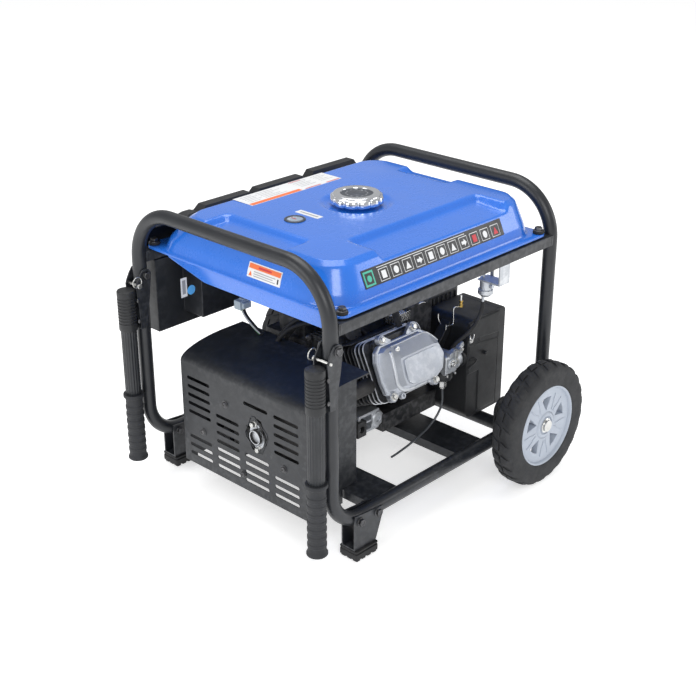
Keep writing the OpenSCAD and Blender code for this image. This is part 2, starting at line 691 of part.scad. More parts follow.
// Intake stub between carburettor and filter, with the breather duct that slants up beside it
module intake_elbow() place() color(black_plastic) {
    difference() {
        rod_x([elbow_x, carb[1], carb[2]], 20, filter_x[0] - elbow_x);
        rod_x([elbow_x - 1, carb[1], carb[2]], 14, 40);
    }
    translate([0, -114, 0]) rotate([90, 0, 0]) linear_extrude(22)
        polygon([[112, 262], [126, 250], [150.5, 282], [150.5, 304]]);
}

filter_x = [152, 272];
filter_y = [-180, -75];
filter_z = [98, 314];
filter_split_x = 250;

// Open box towards +X
module air_filter_base() place() color(black_plastic) difference() {
    union() {
        block([filter_x[0], filter_y[0], filter_z[0] + 20],
              [filter_split_x, filter_y[1], filter_z[1] - 20]);
        block([filter_x[0] + 20, filter_y[0], filter_z[0]], [filter_split_x, filter_y[1], filter_z[1]]);
        for (z = [filter_z[0] + 20, filter_z[1] - 20])
            rod_y([filter_x[0] + 20, filter_y[0], z], 20, filter_y[1] - filter_y[0]);
        rod_y([205, filter_y[0] - 8, 232], 4, 8);
    }
    block([filter_x[0] + 3, filter_y[0] + 3, filter_z[0] + 20],
          [filter_split_x + 1, filter_y[1] - 3, filter_z[1] - 20]);
    rod_x([filter_x[0] - 1, carb[1], carb[2]], 14, 6);
}

module air_filter_cover() place() color(black_plastic) difference() {
    translate([filter_split_x, filter_y[1], filter_z[0]]) rotate([90, 0, 0])
        linear_extrude(filter_y[1] - filter_y[0]) {
            height = filter_z[1] - filter_z[0];
            depth = filter_x[1] - filter_split_x;
            square([depth - 10, height]);
            translate([0, 10]) square([depth, height - 20]);
            for (z = [10, height - 10]) translate([depth - 10, z]) circle(r = 10);
        }
    block([filter_split_x - 1, filter_y[0] + 3, filter_z[0] + 12],
          [filter_x[1] - 3, filter_y[1] - 3, filter_z[1] - 12]);
}

// Where the starter cord leaves the recoil cover
eyelet_y = crank_y + 44;
eyelet_z = crank_z + 44;

// Drum round the flywheel fan
module fan_shroud() place() color(black_steel) difference() {
    union() {
        rod_x([110.2, crank_y, crank_z], 90, 50);
        block([68, -95, 271], [140, 120, 345]);
        block([110.2, -28, 240], [140, 120, 272]);
    }
    rod_x([100, crank_y, crank_z], 87.5, 58.2);
    rod_x([150, crank_y, crank_z], 58, 20);
}

module recoil_cover() place() color(black_plastic) difference() {
    union() {
        rod_x([160.4, crank_y, crank_z], 76, 20);
        translate([180, crank_y, crank_z]) rotate([0, 90, 0]) cylinder(r1 = 76, r2 = 60, h = 16);
        rod_x([178, eyelet_y, eyelet_z], 12, 20);
    }
    rod_x([159, crank_y, crank_z], 72, 18);
    rod_x([150, eyelet_y, eyelet_z], 4.5, 60);
    for (i = [0 : 9]) translate([170, crank_y, crank_z]) rotate([36 * i, 0, 0])
        translate([0, -3, 20]) cube([40, 6, 30]);
}

// Pull grip of the recoil starter, with its short stem in the eyelet
module recoil_grip() place() color(black_plastic) {
    rod_x([186, eyelet_y, eyelet_z], 4.42, 16);
    rod_y([208, eyelet_y - 35, eyelet_z], 9, 70);
}

alt_x = [-262, -65.5];
alt_r = 80;
stator_x = [-240, -100];

module stator() place() color([0.35, 0.2, 0.12]) difference() {
    rod_x([stator_x[0], crank_y, crank_z], alt_r, stator_x[1] - stator_x[0]);
    rod_x([stator_x[0] - 1, crank_y, crank_z], 60, 160);
}

// Rear bell with feet, and the front adaptor with the cast lug beside the crankcase
module alternator_end_bell() place() color(cast_alloy) {
    difference() {
        rod_x([alt_x[0], crank_y, crank_z], alt_r, stator_x[0] - alt_x[0]);
        rod_x([alt_x[0] + 6, crank_y, crank_z], 62, 40);
        rod_x([alt_x[0] - 5, crank_y, crank_z], bearing_r + 0.08, 40);
        for (i = [0 : 7]) translate([alt_x[0] - 5, crank_y, crank_z]) rotate([45 * i, 0, 0])
            translate([0, -6, 30]) cube([20, 12, 26]);
    }
    difference() {
        block([-185, crank_y - 120, base_z], [-135, crank_y + 120, base_z + base_t]);
        rod_x([-190, crank_y, crank_z], alt_r, 60);
        for (y = mount_y) translate([mount_x(member_spans[0]), y, base_z - 1]) cylinder(r = 5, h = 10);
    }
    difference() {
        union() {
            rod_x([stator_x[1], crank_y, crank_z], 82, alt_x[1] - stator_x[1]);
            block([-92, crank_y - 172, base_z + 14], [-68, crank_y - 60, base_z + 46]);
        }
        rod_x([stator_x[1] - 1, crank_y, crank_z], 64, 40);
        rod_y([-80, crank_y - 180, base_z + 30], 7, 40);
    }
}

// Rubber isolators with their studs
module engine_mounts() place() color([0.04, 0.04, 0.04]) for (span = member_spans, y = mount_y)
    translate([mount_x(span), y, 0]) {
        translate([0, 0, member_top_z]) cylinder(r = 17, h = base_z - member_top_z);
        translate([0, 0, member_top_z - 14]) cylinder(r = 4.9, h = 14);
        translate([0, 0, base_z]) cylinder(r = 4.9, h = base_t + 8);
        translate([0, 0, base_z + base_t]) cylinder(r = 9, h = 6, $fn = 6);
    }

// Shaft, webs and crank pin, with the alternator's rotor and the flywheel fan
module crankshaft() place() color([0.5, 0.5, 0.52]) {
    rod_x([-258, crank_y, crank_z], bearing_r, 258 + cyl_x - 15);
    rod_x([cyl_x + 15, crank_y, crank_z], bearing_r, 140);
    for (x = [cyl_x - 31, cyl_x + 15]) rod_x([x, crank_y, crank_z], 52, 16);
    translate([cyl_x - 16, crank_y, crank_z]) rotate([90 - cylinder_lean, 0, 0]) translate([0, 0, 32])
        rotate([0, 90, 0]) cylinder(r = 16, h = 32);
    rod_x([stator_x[0] + 6, crank_y, crank_z], 58, 128);
    rod_x([114, crank_y, crank_z], 82, 7);
    for (i = [0 : 15]) translate([121, crank_y, crank_z]) rotate([22.5 * i, 0, 0])
        translate([0, -2, 46]) cube([24, 4, 34]);
}

// Threaded plug with a finger tab, screwed into its slanting boss
module oil_dipstick() place() color(black_plastic) at_dipstick() {
    translate([0, 0, -2]) cylinder(r = 9, h = 28.3);
    translate([0, 0, 26.3]) cylinder(r = 14, h = 4);
    translate([-11, -3, 30.3]) cube([22, 6, 9]);
}

// ---------------------------------------------------------------- exhaust

header_y = -146;
header_z = 254;
can_y = [-166, -27];
can_z = [143, 276];
can_end_x = -172;

// Muffler can beside the alternator: a stretch of its rounded section, grown or shrunk by g
module can(x, g) translate([x[0], can_y[0] - g, can_z[0] - g]) rotate([90, 0, 90])
    linear_extrude(x[1] - x[0])
        round_rect([can_y[1] - can_y[0] + 2 * g, can_z[1] - can_z[0] + 2 * g], 30 + g);

module muffler() place() color([0.2, 0.2, 0.21]) difference() {
    union() {
        can([-274, can_end_x], 0);
        for (x = [-278, can_end_x]) can([x, x + 4], 3);
    }
    can([-275, can_end_x - 0.5], -2);
    rod_x([-290, outlet_y, outlet_z], 15, 30);
    rod_x([can_end_x - 6, header_y, header_z], 15, 30);
}

// Header from the head to the can, and the outlet with its two-bolt flange
module exhaust_pipes() place() color(zinc) {
    translate([-98.3, header_y, header_z]) rotate([0, -90, 0]) pipe(76, 15, 2);
    difference() {
        union() {
            translate([-289, outlet_y, outlet_z]) rotate([90, 0, 90]) rotate([0, 0, flange_tilt])
                linear_extrude(4) {
                    circle(r = 19);
                    for (v = [-1, 1]) translate([0, 25 * v]) circle(r = 8);
                    polygon([[-18, 6], [-8, 25], [8, 25], [18, 6], [18, -6], [8, -25], [-8, -25], [-18, -6]]);
                }
            rod_x([-295, outlet_y, outlet_z], 15, 23);
        }
        rod_x([-300, outlet_y, outlet_z], 12.5, 30);
        translate([-300, outlet_y, outlet_z]) rotate([90, 0, 90]) rotate([0, 0, flange_tilt])
            for (v = [-25, 25]) translate([0, v, 0]) cylinder(r = 3.2, h = 20);
    }
}

// Cover seen from its side: upright front, rolled top edge, side plates that clear the channel below
module shield_body(t, back, base, y) translate([0, y[1], 0]) rotate([90, 0, 0])
    linear_extrude(y[1] - y[0]) polygon(concat(
        [[shield_x + t, base], [shield_x + t, shield_wall_z]],
        [for (a = [7.5 : 7.5 : 90]) [shield_x + 115 - (115 - t) * cos(a),
                                   shield_wall_z + (shield_top_z - shield_wall_z - t) * sin(a)]],
        [[back, shield_top_z - t]],
        t > 0 ? [[back, base]] : [[back, shield_top_z - 3], [-165, shield_top_z - 3],
                                  [-165, member_top_z + 4], [-202, member_top_z + 4], [-202, base]]));

// Slot outline, lying along Y on the front face
module slot_cut(y, z) translate([shield_x - 5, y, z]) rotate([90, 0, 90]) linear_extrude(12) {
    square([slot_w - slot_h, slot_h], center = true);
    for (s = [-1, 1]) translate([s * (slot_w - slot_h) / 2, 0]) circle(d = slot_h, $fn = 24);
}

module muffler_cover() place() color(black_steel) difference() {
    shield_body(0, -131, shield_z, shield_y);
    shield_body(shield_t, -100, shield_z - 10, [shield_y[0] + shield_t, shield_y[1] - shield_t]);
    for (column = slot_columns, row = column[1]) slot_cut(column[0], slot_base_z + slot_pitch * row);
    translate([shield_x - 5, -43.5, 186]) rotate([90, 0, 90]) rotate([0, 0, flange_tilt]) linear_extrude(12)
        polygon([[-5, 35], [5, 35], [29, 5], [29, -5], [5, -35], [-5, -35], [-29, -5], [-29, 5]]);
    block([-190, shield_y[1] - 5, member_top_z - 1], [-150, shield_y[1] + 5, base_z + base_t + 9]);
}

// ---------------------------------------------------------------- control panel

// Housing behind the face, open to the front, with the deeper box behind it
module panel_housing() place() color(black_steel) difference() {
    union() {
        block([panel_x[0], 240, panel_z[0]], [panel_x[1], panel_face_y - 3, panel_z[1]]);
        block([-215, 185, 330], [60, 241, 438]);
    }
    block([panel_x[0] + 2, 242, panel_z[0] + 2], [panel_x[1] - 2, panel_face_y, panel_z[1] - 2]);
    block([-213, 187, 332], [58, 260, 436]);
}

module panel_face() place() color(black_plastic) difference() {
    block([panel_x[0], panel_face_y - 3, panel_z[0]], [panel_x[1], panel_face_y, panel_z[1]]);
    for (x = socket_x)
        block([x - 17, panel_face_y - 5, socket_z - 24], [x + 17, panel_face_y + 1, socket_z + 24]);
    rod_y([lock_socket_x, panel_face_y - 5, socket_z], 27, 10);
    rod_y([breaker_pos[0], panel_face_y - 5, breaker_pos[1]], 6.1, 10);
    rod_y([breaker_pos[0], panel_face_y - 5, switch_pos[1]], 24, 10);
    block([switch_pos[0] - 10, panel_face_y - 5, switch_pos[1] - 15],
          [switch_pos[0] + 10, panel_face_y + 1, switch_pos[1] + 15]);
    rod_y([stud_pos[0], panel_face_y - 5, stud_pos[1]], 3, 10);
}

// Hood in front of the beam and the tank flange, with four raised pads along its top
module panel_hood() place() color(black_plastic) {
    translate([panel_x[0], 0, 0]) rotate([90, 0, 90]) linear_extrude(panel_x[1] - panel_x[0]) polygon([
        [panel_face_y + 2.5, panel_z[1] - 8], [panel_face_y + 2.5, 502], [258, 522], [226, 524],
        [226, 521.5], [256.5, 519.5], [panel_face_y, 501], [panel_face_y, panel_z[1] - 8]]);
    for (pad = hood_pads) hull() {
        block([pad[0], 228, 522], [pad[1], 256, 523]);
        block([pad[0] + 10, 231, pad[2] - 1], [pad[1] - 10, 253, pad[2]]);
    }
}

// Duplex socket blocks, the round twist-lock socket, the voltmeter and the ground terminal
module panel_fittings() place() {
    color([0.15, 0.15, 0.16]) for (x = socket_x) difference() {
        block([x - 17, panel_face_y - 20, socket_z - 24], [x + 17, panel_face_y + 1, socket_z + 24]);
        for (z = [-13, 13], dx = [-6, 6])
            block([x + dx - 1, panel_face_y - 4, socket_z + z - 4],
                  [x + dx + 1, panel_face_y + 2, socket_z + z + 4]);
    }
    color([0.15, 0.15, 0.16]) difference() {
        rod_y([lock_socket_x, panel_face_y - 25, socket_z], 27, 26);
        for (a = [0 : 90 : 270]) translate([lock_socket_x, 0, socket_z]) rotate([0, a, 0])
            block([13, panel_face_y - 8, -5], [15.5, panel_face_y + 5, 5]);
    }
    color([0.85, 0.85, 0.85]) rod_y([breaker_pos[0], panel_face_y - 18, switch_pos[1]], 24, 19);
    color(zinc) rod_y([stud_pos[0], panel_face_y - 12, stud_pos[1]], 3, 28);
    color(zinc) difference() {
        rod_y([stud_pos[0], panel_face_y, stud_pos[1]], 9, 4);
        rod_y([stud_pos[0], panel_face_y - 1, stud_pos[1]], 3, 6);
    }
}

// Flap over the first duplex socket, hinged along its top edge
module outlet_cover() place() color([0.25, 0.25, 0.27]) {
    rod_x([socket_x[0] - 22, panel_face_y + 3.6, flap_hinge_z], 3, 44);
    block([socket_x[0] - 22, panel_face_y + 2, flap_hinge_z - 62],
          [socket_x[0] + 22, panel_face_y + 5, flap_hinge_z]);
}

module engine_switch() place() color([0.7, 0.08, 0.06])
    translate([switch_pos[0], panel_face_y - 2, switch_pos[1]]) rotate([-12, 0, 0]) {
        block([-9, -2, -12], [9, 4.5, 12]);
        rod_x([-9, 0, 0], 3, 18);
    }

module breaker_button() place() color([0.85, 0.85, 0.85])
    rod_y([breaker_pos[0], panel_face_y - 15, breaker_pos[1]], 6, 20);

module wiring_harness() place() color([0.8, 0.75, 0.2]) swept_tube(harness_route, harness_r, 8, [1, 0, 0]);

module vent_tube() place() color([0.3, 0.3, 0.3]) swept_tube(vent_route, vent_r, 8, [0, 1, 0]);

hoop_handle_end();
hoop_wheel_end();
frame_members();
axle_brackets();
axle();
foot_brackets();
foot_pads();
frame_bolts();
tank_upper();
tank_lower();
tank_bushes();
fuel_strainer();
fuel_gauge();
fuel_valve();
fuel_hose();
crankcase();
cylinder_barrel();
cylinder_head();
valve_cover();
cover_bolts();
cylinder_shroud();
carburettor();
intake_elbow();
air_filter_base();
air_filter_cover();
fan_shroud();
recoil_cover();
stator();
alternator_end_bell();
engine_mounts();
spark_plug();
muffler();
exhaust_pipes();
muffler_cover();
panel_housing();
panel_face();
panel_hood();
panel_fittings();
wiring_harness();
vent_tube();
wheel_rim(-1);  // wheel_rim_engine_side
tyre(-1);  // tyre_engine_side
wheel_rim(1);  // wheel_rim_panel_side
tyre(1);  // tyre_panel_side
handle_arm(-1);  // handle_arm_engine_side
handle_arm(1);  // handle_arm_panel_side
handle_grip(-1);  // handle_grip_engine_side
handle_grip(1);  // handle_grip_panel_side
lock_pin(-1);  // lock_pin_engine_side
lock_pin(1);  // lock_pin_panel_side
fuel_cap();
fuel_valve_lever();
recoil_grip();
crankshaft();
choke_lever();
engine_switch();
breaker_button();
outlet_cover();
oil_dipstick();
fuel_cap_insert();
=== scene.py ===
# Looks of the open-frame portable generator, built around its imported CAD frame.
# Sizes in the calls to place() and in the shape tables are millimetres from the middle of the tube frame, at
# floor level; everything that reaches Blender is in metres in the CAD's own frame.
import json
import math

import bmesh
import bpy
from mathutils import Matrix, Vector


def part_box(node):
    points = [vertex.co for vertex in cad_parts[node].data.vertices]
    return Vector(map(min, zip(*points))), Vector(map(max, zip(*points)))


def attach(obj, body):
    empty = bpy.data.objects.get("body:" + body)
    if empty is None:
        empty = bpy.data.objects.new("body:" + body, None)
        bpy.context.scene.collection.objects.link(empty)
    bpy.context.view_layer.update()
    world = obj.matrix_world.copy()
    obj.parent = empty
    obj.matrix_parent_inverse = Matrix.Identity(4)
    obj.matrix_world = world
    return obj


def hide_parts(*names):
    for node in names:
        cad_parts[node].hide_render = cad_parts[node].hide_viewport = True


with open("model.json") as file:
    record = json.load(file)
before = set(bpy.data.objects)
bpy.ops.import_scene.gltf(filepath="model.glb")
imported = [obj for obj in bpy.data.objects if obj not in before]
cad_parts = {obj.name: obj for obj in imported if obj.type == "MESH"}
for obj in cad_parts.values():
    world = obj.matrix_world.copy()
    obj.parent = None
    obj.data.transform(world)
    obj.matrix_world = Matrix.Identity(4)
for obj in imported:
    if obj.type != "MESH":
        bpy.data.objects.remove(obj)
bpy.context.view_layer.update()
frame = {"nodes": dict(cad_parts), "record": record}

MM = 0.001
TAU = 2 * math.pi
# Middle of the tube frame along X
MID = (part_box("hoop_handle_end")[0].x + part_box("hoop_wheel_end")[1].x) / 2


def place(x, y, z):
    """A point given in millimetres from the frame's middle."""
    return Vector((MID + x * MM, y * MM, z * MM))


# ---------------------------------------------------------------- camera

# Camera: place in millimetres, tilt below level and heading from +X in degrees, lens in millimetres
CAMERA_AT = (-1680.3, -1590.7, 1308.9)
CAMERA_TILT = 24.55
CAMERA_HEADING = 43.46
CAMERA_LENS = 66.2


def make_camera():
    camera = bpy.data.objects.new("camera", bpy.data.cameras.new("camera"))
    bpy.context.scene.collection.objects.link(camera)
    camera.location = place(*CAMERA_AT)
    camera.rotation_euler = (math.radians(90 - CAMERA_TILT), 0, math.radians(CAMERA_HEADING - 90))
    camera.data.sensor_width = 36
    camera.data.lens = CAMERA_LENS
    camera.data.clip_start = 0.05
    camera.data.clip_end = 50
    bpy.context.scene.camera = camera


make_camera()


# ---------------------------------------------------------------- node graphs

class Graph:
    """A material's node tree with short calls for the nodes used here."""

    def __init__(self, name):
        self.material = bpy.data.materials.new(name)
        self.material.use_nodes = True
        self.tree = self.material.node_tree
        self.shader = self.tree.nodes["Principled BSDF"]
        self.coords = self.tree.nodes.new("ShaderNodeTexCoord").outputs["Object"]

    def set(self, **values):
        for key, value in values.items():
            self.shader.inputs[key.replace("_", " ")].default_value = value

    def feed(self, socket, output):
        self.tree.links.new(output, self.shader.inputs[socket])

    def node(self, kind, inputs=None, **settings):
        made = self.tree.nodes.new(kind)
        for key, value in settings.items():
            setattr(made, key, value)
        for key, value in (inputs or {}).items():
            if isinstance(value, bpy.types.NodeSocket):
                self.tree.links.new(value, made.inputs[key])
            else:
                made.inputs[key].default_value = value
        return made

    def noise(self, scale, detail=4.0, roughness=0.55, stretch=None):
        vector = self.coords
        if stretch:
            vector = self.node("ShaderNodeMapping", {"Vector": vector, "Scale": stretch}).outputs[0]
        made = self.node("ShaderNodeTexNoise", {"Vector": vector, "Scale": scale, "Detail": detail,
                                                "Roughness": roughness})
        return made.outputs["Fac"]

    def remap(self, value, low, high, to_low, to_high):
        made = self.node("ShaderNodeMapRange", {"Value": value, "From Min": low, "From Max": high,
                                                "To Min": to_low, "To Max": to_high}, clamp=True)
        return made.outputs[0]

    def math(self, operation, a, b):
        return self.node("ShaderNodeMath", {0: a, 1: b}, operation=operation).outputs[0]

    def mix(self, factor, a, b):
        made = self.node("ShaderNodeMix", data_type="RGBA")
        for socket, value in ((made.inputs[0], factor), (made.inputs[6], a), (made.inputs[7], b)):
            if isinstance(value, bpy.types.NodeSocket):
                self.tree.links.new(value, socket)
            else:
                socket.default_value = value
        return made.outputs[2]

    def bump(self, height, strength, distance):
        made = self.node("ShaderNodeBump", {"Height": height, "Strength": strength, "Distance": distance})
        self.feed("Normal", made.outputs[0])

    def edges(self, low=0.51, high=0.58):
        """Mask of convex edges, broken up by a fine noise, for wear."""
        point = self.node("ShaderNodeNewGeometry").outputs["Pointiness"]
        mask = self.remap(point, low, high, 0.0, 1.0)
        return self.math("MULTIPLY", mask, self.remap(self.noise(90.0, 5.0), 0.45, 0.62, 0.0, 1.0))


def rgba(color, k=1.0):
    return (min(color[0] * k, 1), min(color[1] * k, 1), min(color[2] * k, 1), 1)


def surface(name, color, rough, metallic=0.0, tone=0.12, patch=9.0, grain=420.0, depth=0.00006,
            strength=0.35,
            worn=None, wear=0.35, dust=0.0, speck=0.06, stretch=None, **fixed):
    """A finish with tonal patches, varied roughness, surface grain, worn edges and a film of dust."""
    g = Graph(name)
    g.set(Metallic=metallic, **fixed)
    patches = g.noise(patch, 6.0)
    fine = g.noise(grain, 3.0, 0.6, stretch)
    base = g.mix(g.remap(patches, 0.3, 0.7, 0.0, 1.0), rgba(color, 1 - tone), rgba(color, 1 + tone))
    base = g.mix(g.remap(fine, 0.35, 0.65, 0.0, speck * 4), base, rgba(color, 0.7))
    if dust:
        film = g.math("MULTIPLY", g.remap(g.noise(30.0, 8.0, 0.7), 0.45, 0.75, 0.0, 1.0), dust)
        base = g.mix(film, base, (0.35, 0.34, 0.32, 1))
    if worn:
        base = g.mix(g.math("MULTIPLY", g.edges(), wear), base, rgba(worn))
    g.feed("Base Color", base)
    smear = g.noise(patch * 3.2, 7.0, 0.65)
    g.feed("Roughness", g.remap(g.math("ADD", smear, g.math("MULTIPLY", fine, 0.4)), 0.45, 0.95,
                                max(rough - 0.09, 0.02), min(rough + 0.11, 1.0)))
    g.bump(fine, strength, depth)
    return g.material


BLACK = (0.0105, 0.0125, 0.0165)
FINISH = {}


def add_finish(name, *look, **details):
    FINISH[name] = surface(name, *look, **details)


# Looks that several finishes share: printed film, wire insulation, small moulded switches
PRINT = dict(patch=30, grain=700, depth=0.00002, strength=0.2)
WIRE = dict(patch=50, grain=700, depth=0.00004, strength=0.3)
SWITCH = dict(patch=40, grain=700, depth=0.00004, strength=0.2)
add_finish("powder_black", BLACK, 0.40, tone=0.10, grain=650, depth=0.00008, strength=0.30, worn=(0.10,
    0.105, 0.115), wear=0.35, Coat_Weight=0.12, Coat_Roughness=0.30)
add_finish("sheet_black", (0.0115, 0.0135, 0.0175), 0.43, tone=0.12, grain=520, depth=0.00007,
    strength=0.28, worn=(0.09, 0.095, 0.10), wear=0.30, Coat_Weight=0.08, Coat_Roughness=0.35)
add_finish("engine_black", (0.0085, 0.0095, 0.0115), 0.46, tone=0.2, grain=380, depth=0.00012, strength=0.4,
    worn=(0.12, 0.12, 0.125), wear=0.45, dust=0.05)
add_finish("moulded_black", (0.0095, 0.0105, 0.0125), 0.50, tone=0.08, grain=900, depth=0.00010,
    strength=0.45, worn=(0.04, 0.042, 0.046), wear=0.3)
add_finish("rubber", (0.0105, 0.0110, 0.0125), 0.72, tone=0.14, grain=700, depth=0.00014, strength=0.5,
    dust=0.05)
add_finish("grip_rubber", (0.014, 0.0155, 0.0195), 0.62, tone=0.10, grain=800, depth=0.00012, strength=0.5,
    dust=0.03)
add_finish("handle_black", (0.0125, 0.0145, 0.0180), 0.42, tone=0.1, grain=600, depth=0.00008, strength=0.3,
    worn=(0.06, 0.064, 0.07), wear=0.35)
add_finish("tyre", (0.0115, 0.0125, 0.0150), 0.70, tone=0.16, grain=420, depth=0.00020, strength=0.5,
    dust=0.06)
add_finish("rim_grey", (0.40, 0.445, 0.52), 0.40, tone=0.05, grain=700, depth=0.00008, strength=0.3,
    worn=(0.6, 0.64, 0.7), wear=0.25, dust=0.04)
add_finish("tank_paint", (0.018, 0.160, 0.68), 0.26, tone=0.04, patch=5, grain=260, depth=0.00003,
    strength=0.25, speck=0.02, Coat_Weight=0.6, Coat_Roughness=0.12)
add_finish("zinc", (0.60, 0.60, 0.58), 0.32, metallic=1.0, tone=0.10, patch=60, grain=900, depth=0.00004,
    strength=0.3, worn=(0.8, 0.8, 0.78))
add_finish("dark_zinc", (0.10, 0.10, 0.105), 0.36, metallic=1.0, tone=0.15, patch=60, grain=900,
    depth=0.00005, strength=0.3, worn=(0.4, 0.4, 0.4))
add_finish("cast_alloy", (0.56, 0.585, 0.62), 0.46, metallic=0.85, tone=0.07, patch=22, grain=520,
    depth=0.00016, strength=0.6, worn=(0.85, 0.86, 0.88), wear=0.5, dust=0.04)
add_finish("cast_cover", (0.40, 0.425, 0.47), 0.38, metallic=0.75, tone=0.03, patch=7, grain=520,
    depth=0.00012, strength=0.5, worn=(0.85, 0.86, 0.88), wear=0.6, dust=0.03)
add_finish("bright_steel", (0.70, 0.70, 0.69), 0.22, metallic=1.0, tone=0.06, patch=40, grain=900,
    depth=0.00003, strength=0.25, stretch=(1, 1, 12))
add_finish("chrome", (0.82, 0.84, 0.88), 0.14, metallic=1.0, tone=0.03, patch=30, grain=500, depth=0.00002,
    strength=0.15)
add_finish("dark_disc", (0.07, 0.08, 0.10), 0.4, metallic=0.4, tone=0.15, patch=60, grain=700,
    depth=0.00008, strength=0.4)
add_finish("gauge_grey", (0.30, 0.36, 0.44), 0.35, tone=0.08, patch=60, grain=600, depth=0.00004,
    strength=0.3)
add_finish("muffler_steel", (0.035, 0.034, 0.034), 0.55, metallic=0.5, tone=0.3, patch=25, grain=300,
    depth=0.00012, strength=0.4, dust=0.08)
add_finish("copper", (0.45, 0.16, 0.06), 0.35, metallic=0.9, tone=0.15, patch=60, grain=900, depth=0.0001,
    strength=0.5, stretch=(1, 10, 10))
add_finish("lamination", (0.10, 0.10, 0.11), 0.5, metallic=0.6, tone=0.2, patch=40, grain=900, depth=0.0002,
    strength=0.6, stretch=(14, 1, 1))
add_finish("brass", (0.62, 0.42, 0.12), 0.30, metallic=1.0, tone=0.12, patch=60, grain=800, depth=0.00005,
    strength=0.3)
add_finish("clear_tube", (0.060, 0.066, 0.075), 0.30, tone=0.15, patch=40, grain=500, depth=0.00005,
    strength=0.3, Coat_Weight=0.4, Coat_Roughness=0.15)
add_finish("label_white", (0.74, 0.75, 0.76), 0.42, tone=0.03, speck=0.01, **PRINT)
add_finish("label_orange", (0.80, 0.165, 0.045), 0.42, tone=0.05, speck=0.02, **PRINT)
add_finish("label_red", (0.55, 0.030, 0.045), 0.42, tone=0.06, speck=0.02, **PRINT)
add_finish("label_black", (0.011, 0.012, 0.015), 0.36, tone=0.08, **PRINT)
add_finish("label_grey", (0.30, 0.31, 0.33), 0.42, tone=0.05, **PRINT)
add_finish("label_green", (0.06, 0.46, 0.33), 0.42, tone=0.05, **PRINT)
add_finish("label_blue", (0.10, 0.42, 0.85), 0.42, tone=0.05, **PRINT)
add_finish("wire_yellow", (0.62, 0.52, 0.03), 0.45, tone=0.1, **WIRE)
add_finish("wire_green", (0.05, 0.30, 0.10), 0.45, tone=0.1, **WIRE)
add_finish("wire_white", (0.62, 0.62, 0.60), 0.45, tone=0.06, **WIRE)
add_finish("plug_grey", (0.42, 0.50, 0.56), 0.45, tone=0.06, patch=50, grain=700, depth=0.00005,
    strength=0.3)
add_finish("switch_red", (0.55, 0.02, 0.015), 0.3, tone=0.05, **SWITCH)
add_finish("button_white", (0.7, 0.7, 0.68), 0.35, tone=0.04, **SWITCH)


# ---------------------------------------------------------------- mesh helpers

# Points closer than this, in metres, are one point; CAD faces flatter than this, in degrees, are one face
MERGE = 1e-6
FLAT = 0.6


def finish_mesh(name, bm, finish, body="root", angle=38, bevel=0.0, segments=2, replaces=()):
    """Turns a bmesh into a piece that rides on a body, smoothly shaded, with an optional bevel."""
    bmesh.ops.remove_doubles(bm, verts=bm.verts, dist=MERGE)
    bmesh.ops.recalc_face_normals(bm, faces=bm.faces)
    mesh = bpy.data.meshes.new(name)
    bm.to_mesh(mesh)
    bm.free()
    mesh.shade_smooth()
    mesh.set_sharp_from_angle(angle=math.radians(angle))
    piece = bpy.data.objects.new(name, mesh)
    bpy.context.scene.collection.objects.link(piece)
    piece.data.materials.append(FINISH[finish])
    if bevel:
        mod = piece.modifiers.new("bevel", "BEVEL")
        mod.width = bevel
        mod.segments = segments
        mod.limit_method = "ANGLE"
        mod.angle_limit = math.radians(angle)
        mod.harden_normals = True
        mod.use_clamp_overlap = True
    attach(piece, body)
    for node in replaces:
        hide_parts(node)
    return piece


def node_body(node):
    """The body that a CAD node belongs to."""
    for body, members in frame["record"]["behaviour"]["bodies"].items():
        if node in members:
            return body
    return "root"


def refine(node, finish, bevel=0.0005, segments=2, angle=32):
    """A copy of a CAD node with its flat faces merged and its sharp edges rounded off a little."""
    bm = bmesh.new()
    bm.from_mesh(frame["nodes"][node].data)
    bmesh.ops.remove_doubles(bm, verts=bm.verts, dist=2 * MERGE)
    bmesh.ops.dissolve_limit(bm, angle_limit=math.radians(FLAT), verts=bm.verts, edges=bm.edges)
    return finish_mesh(node + "_finished", bm, finish, node_body(node), angle, bevel, segments, (node,))


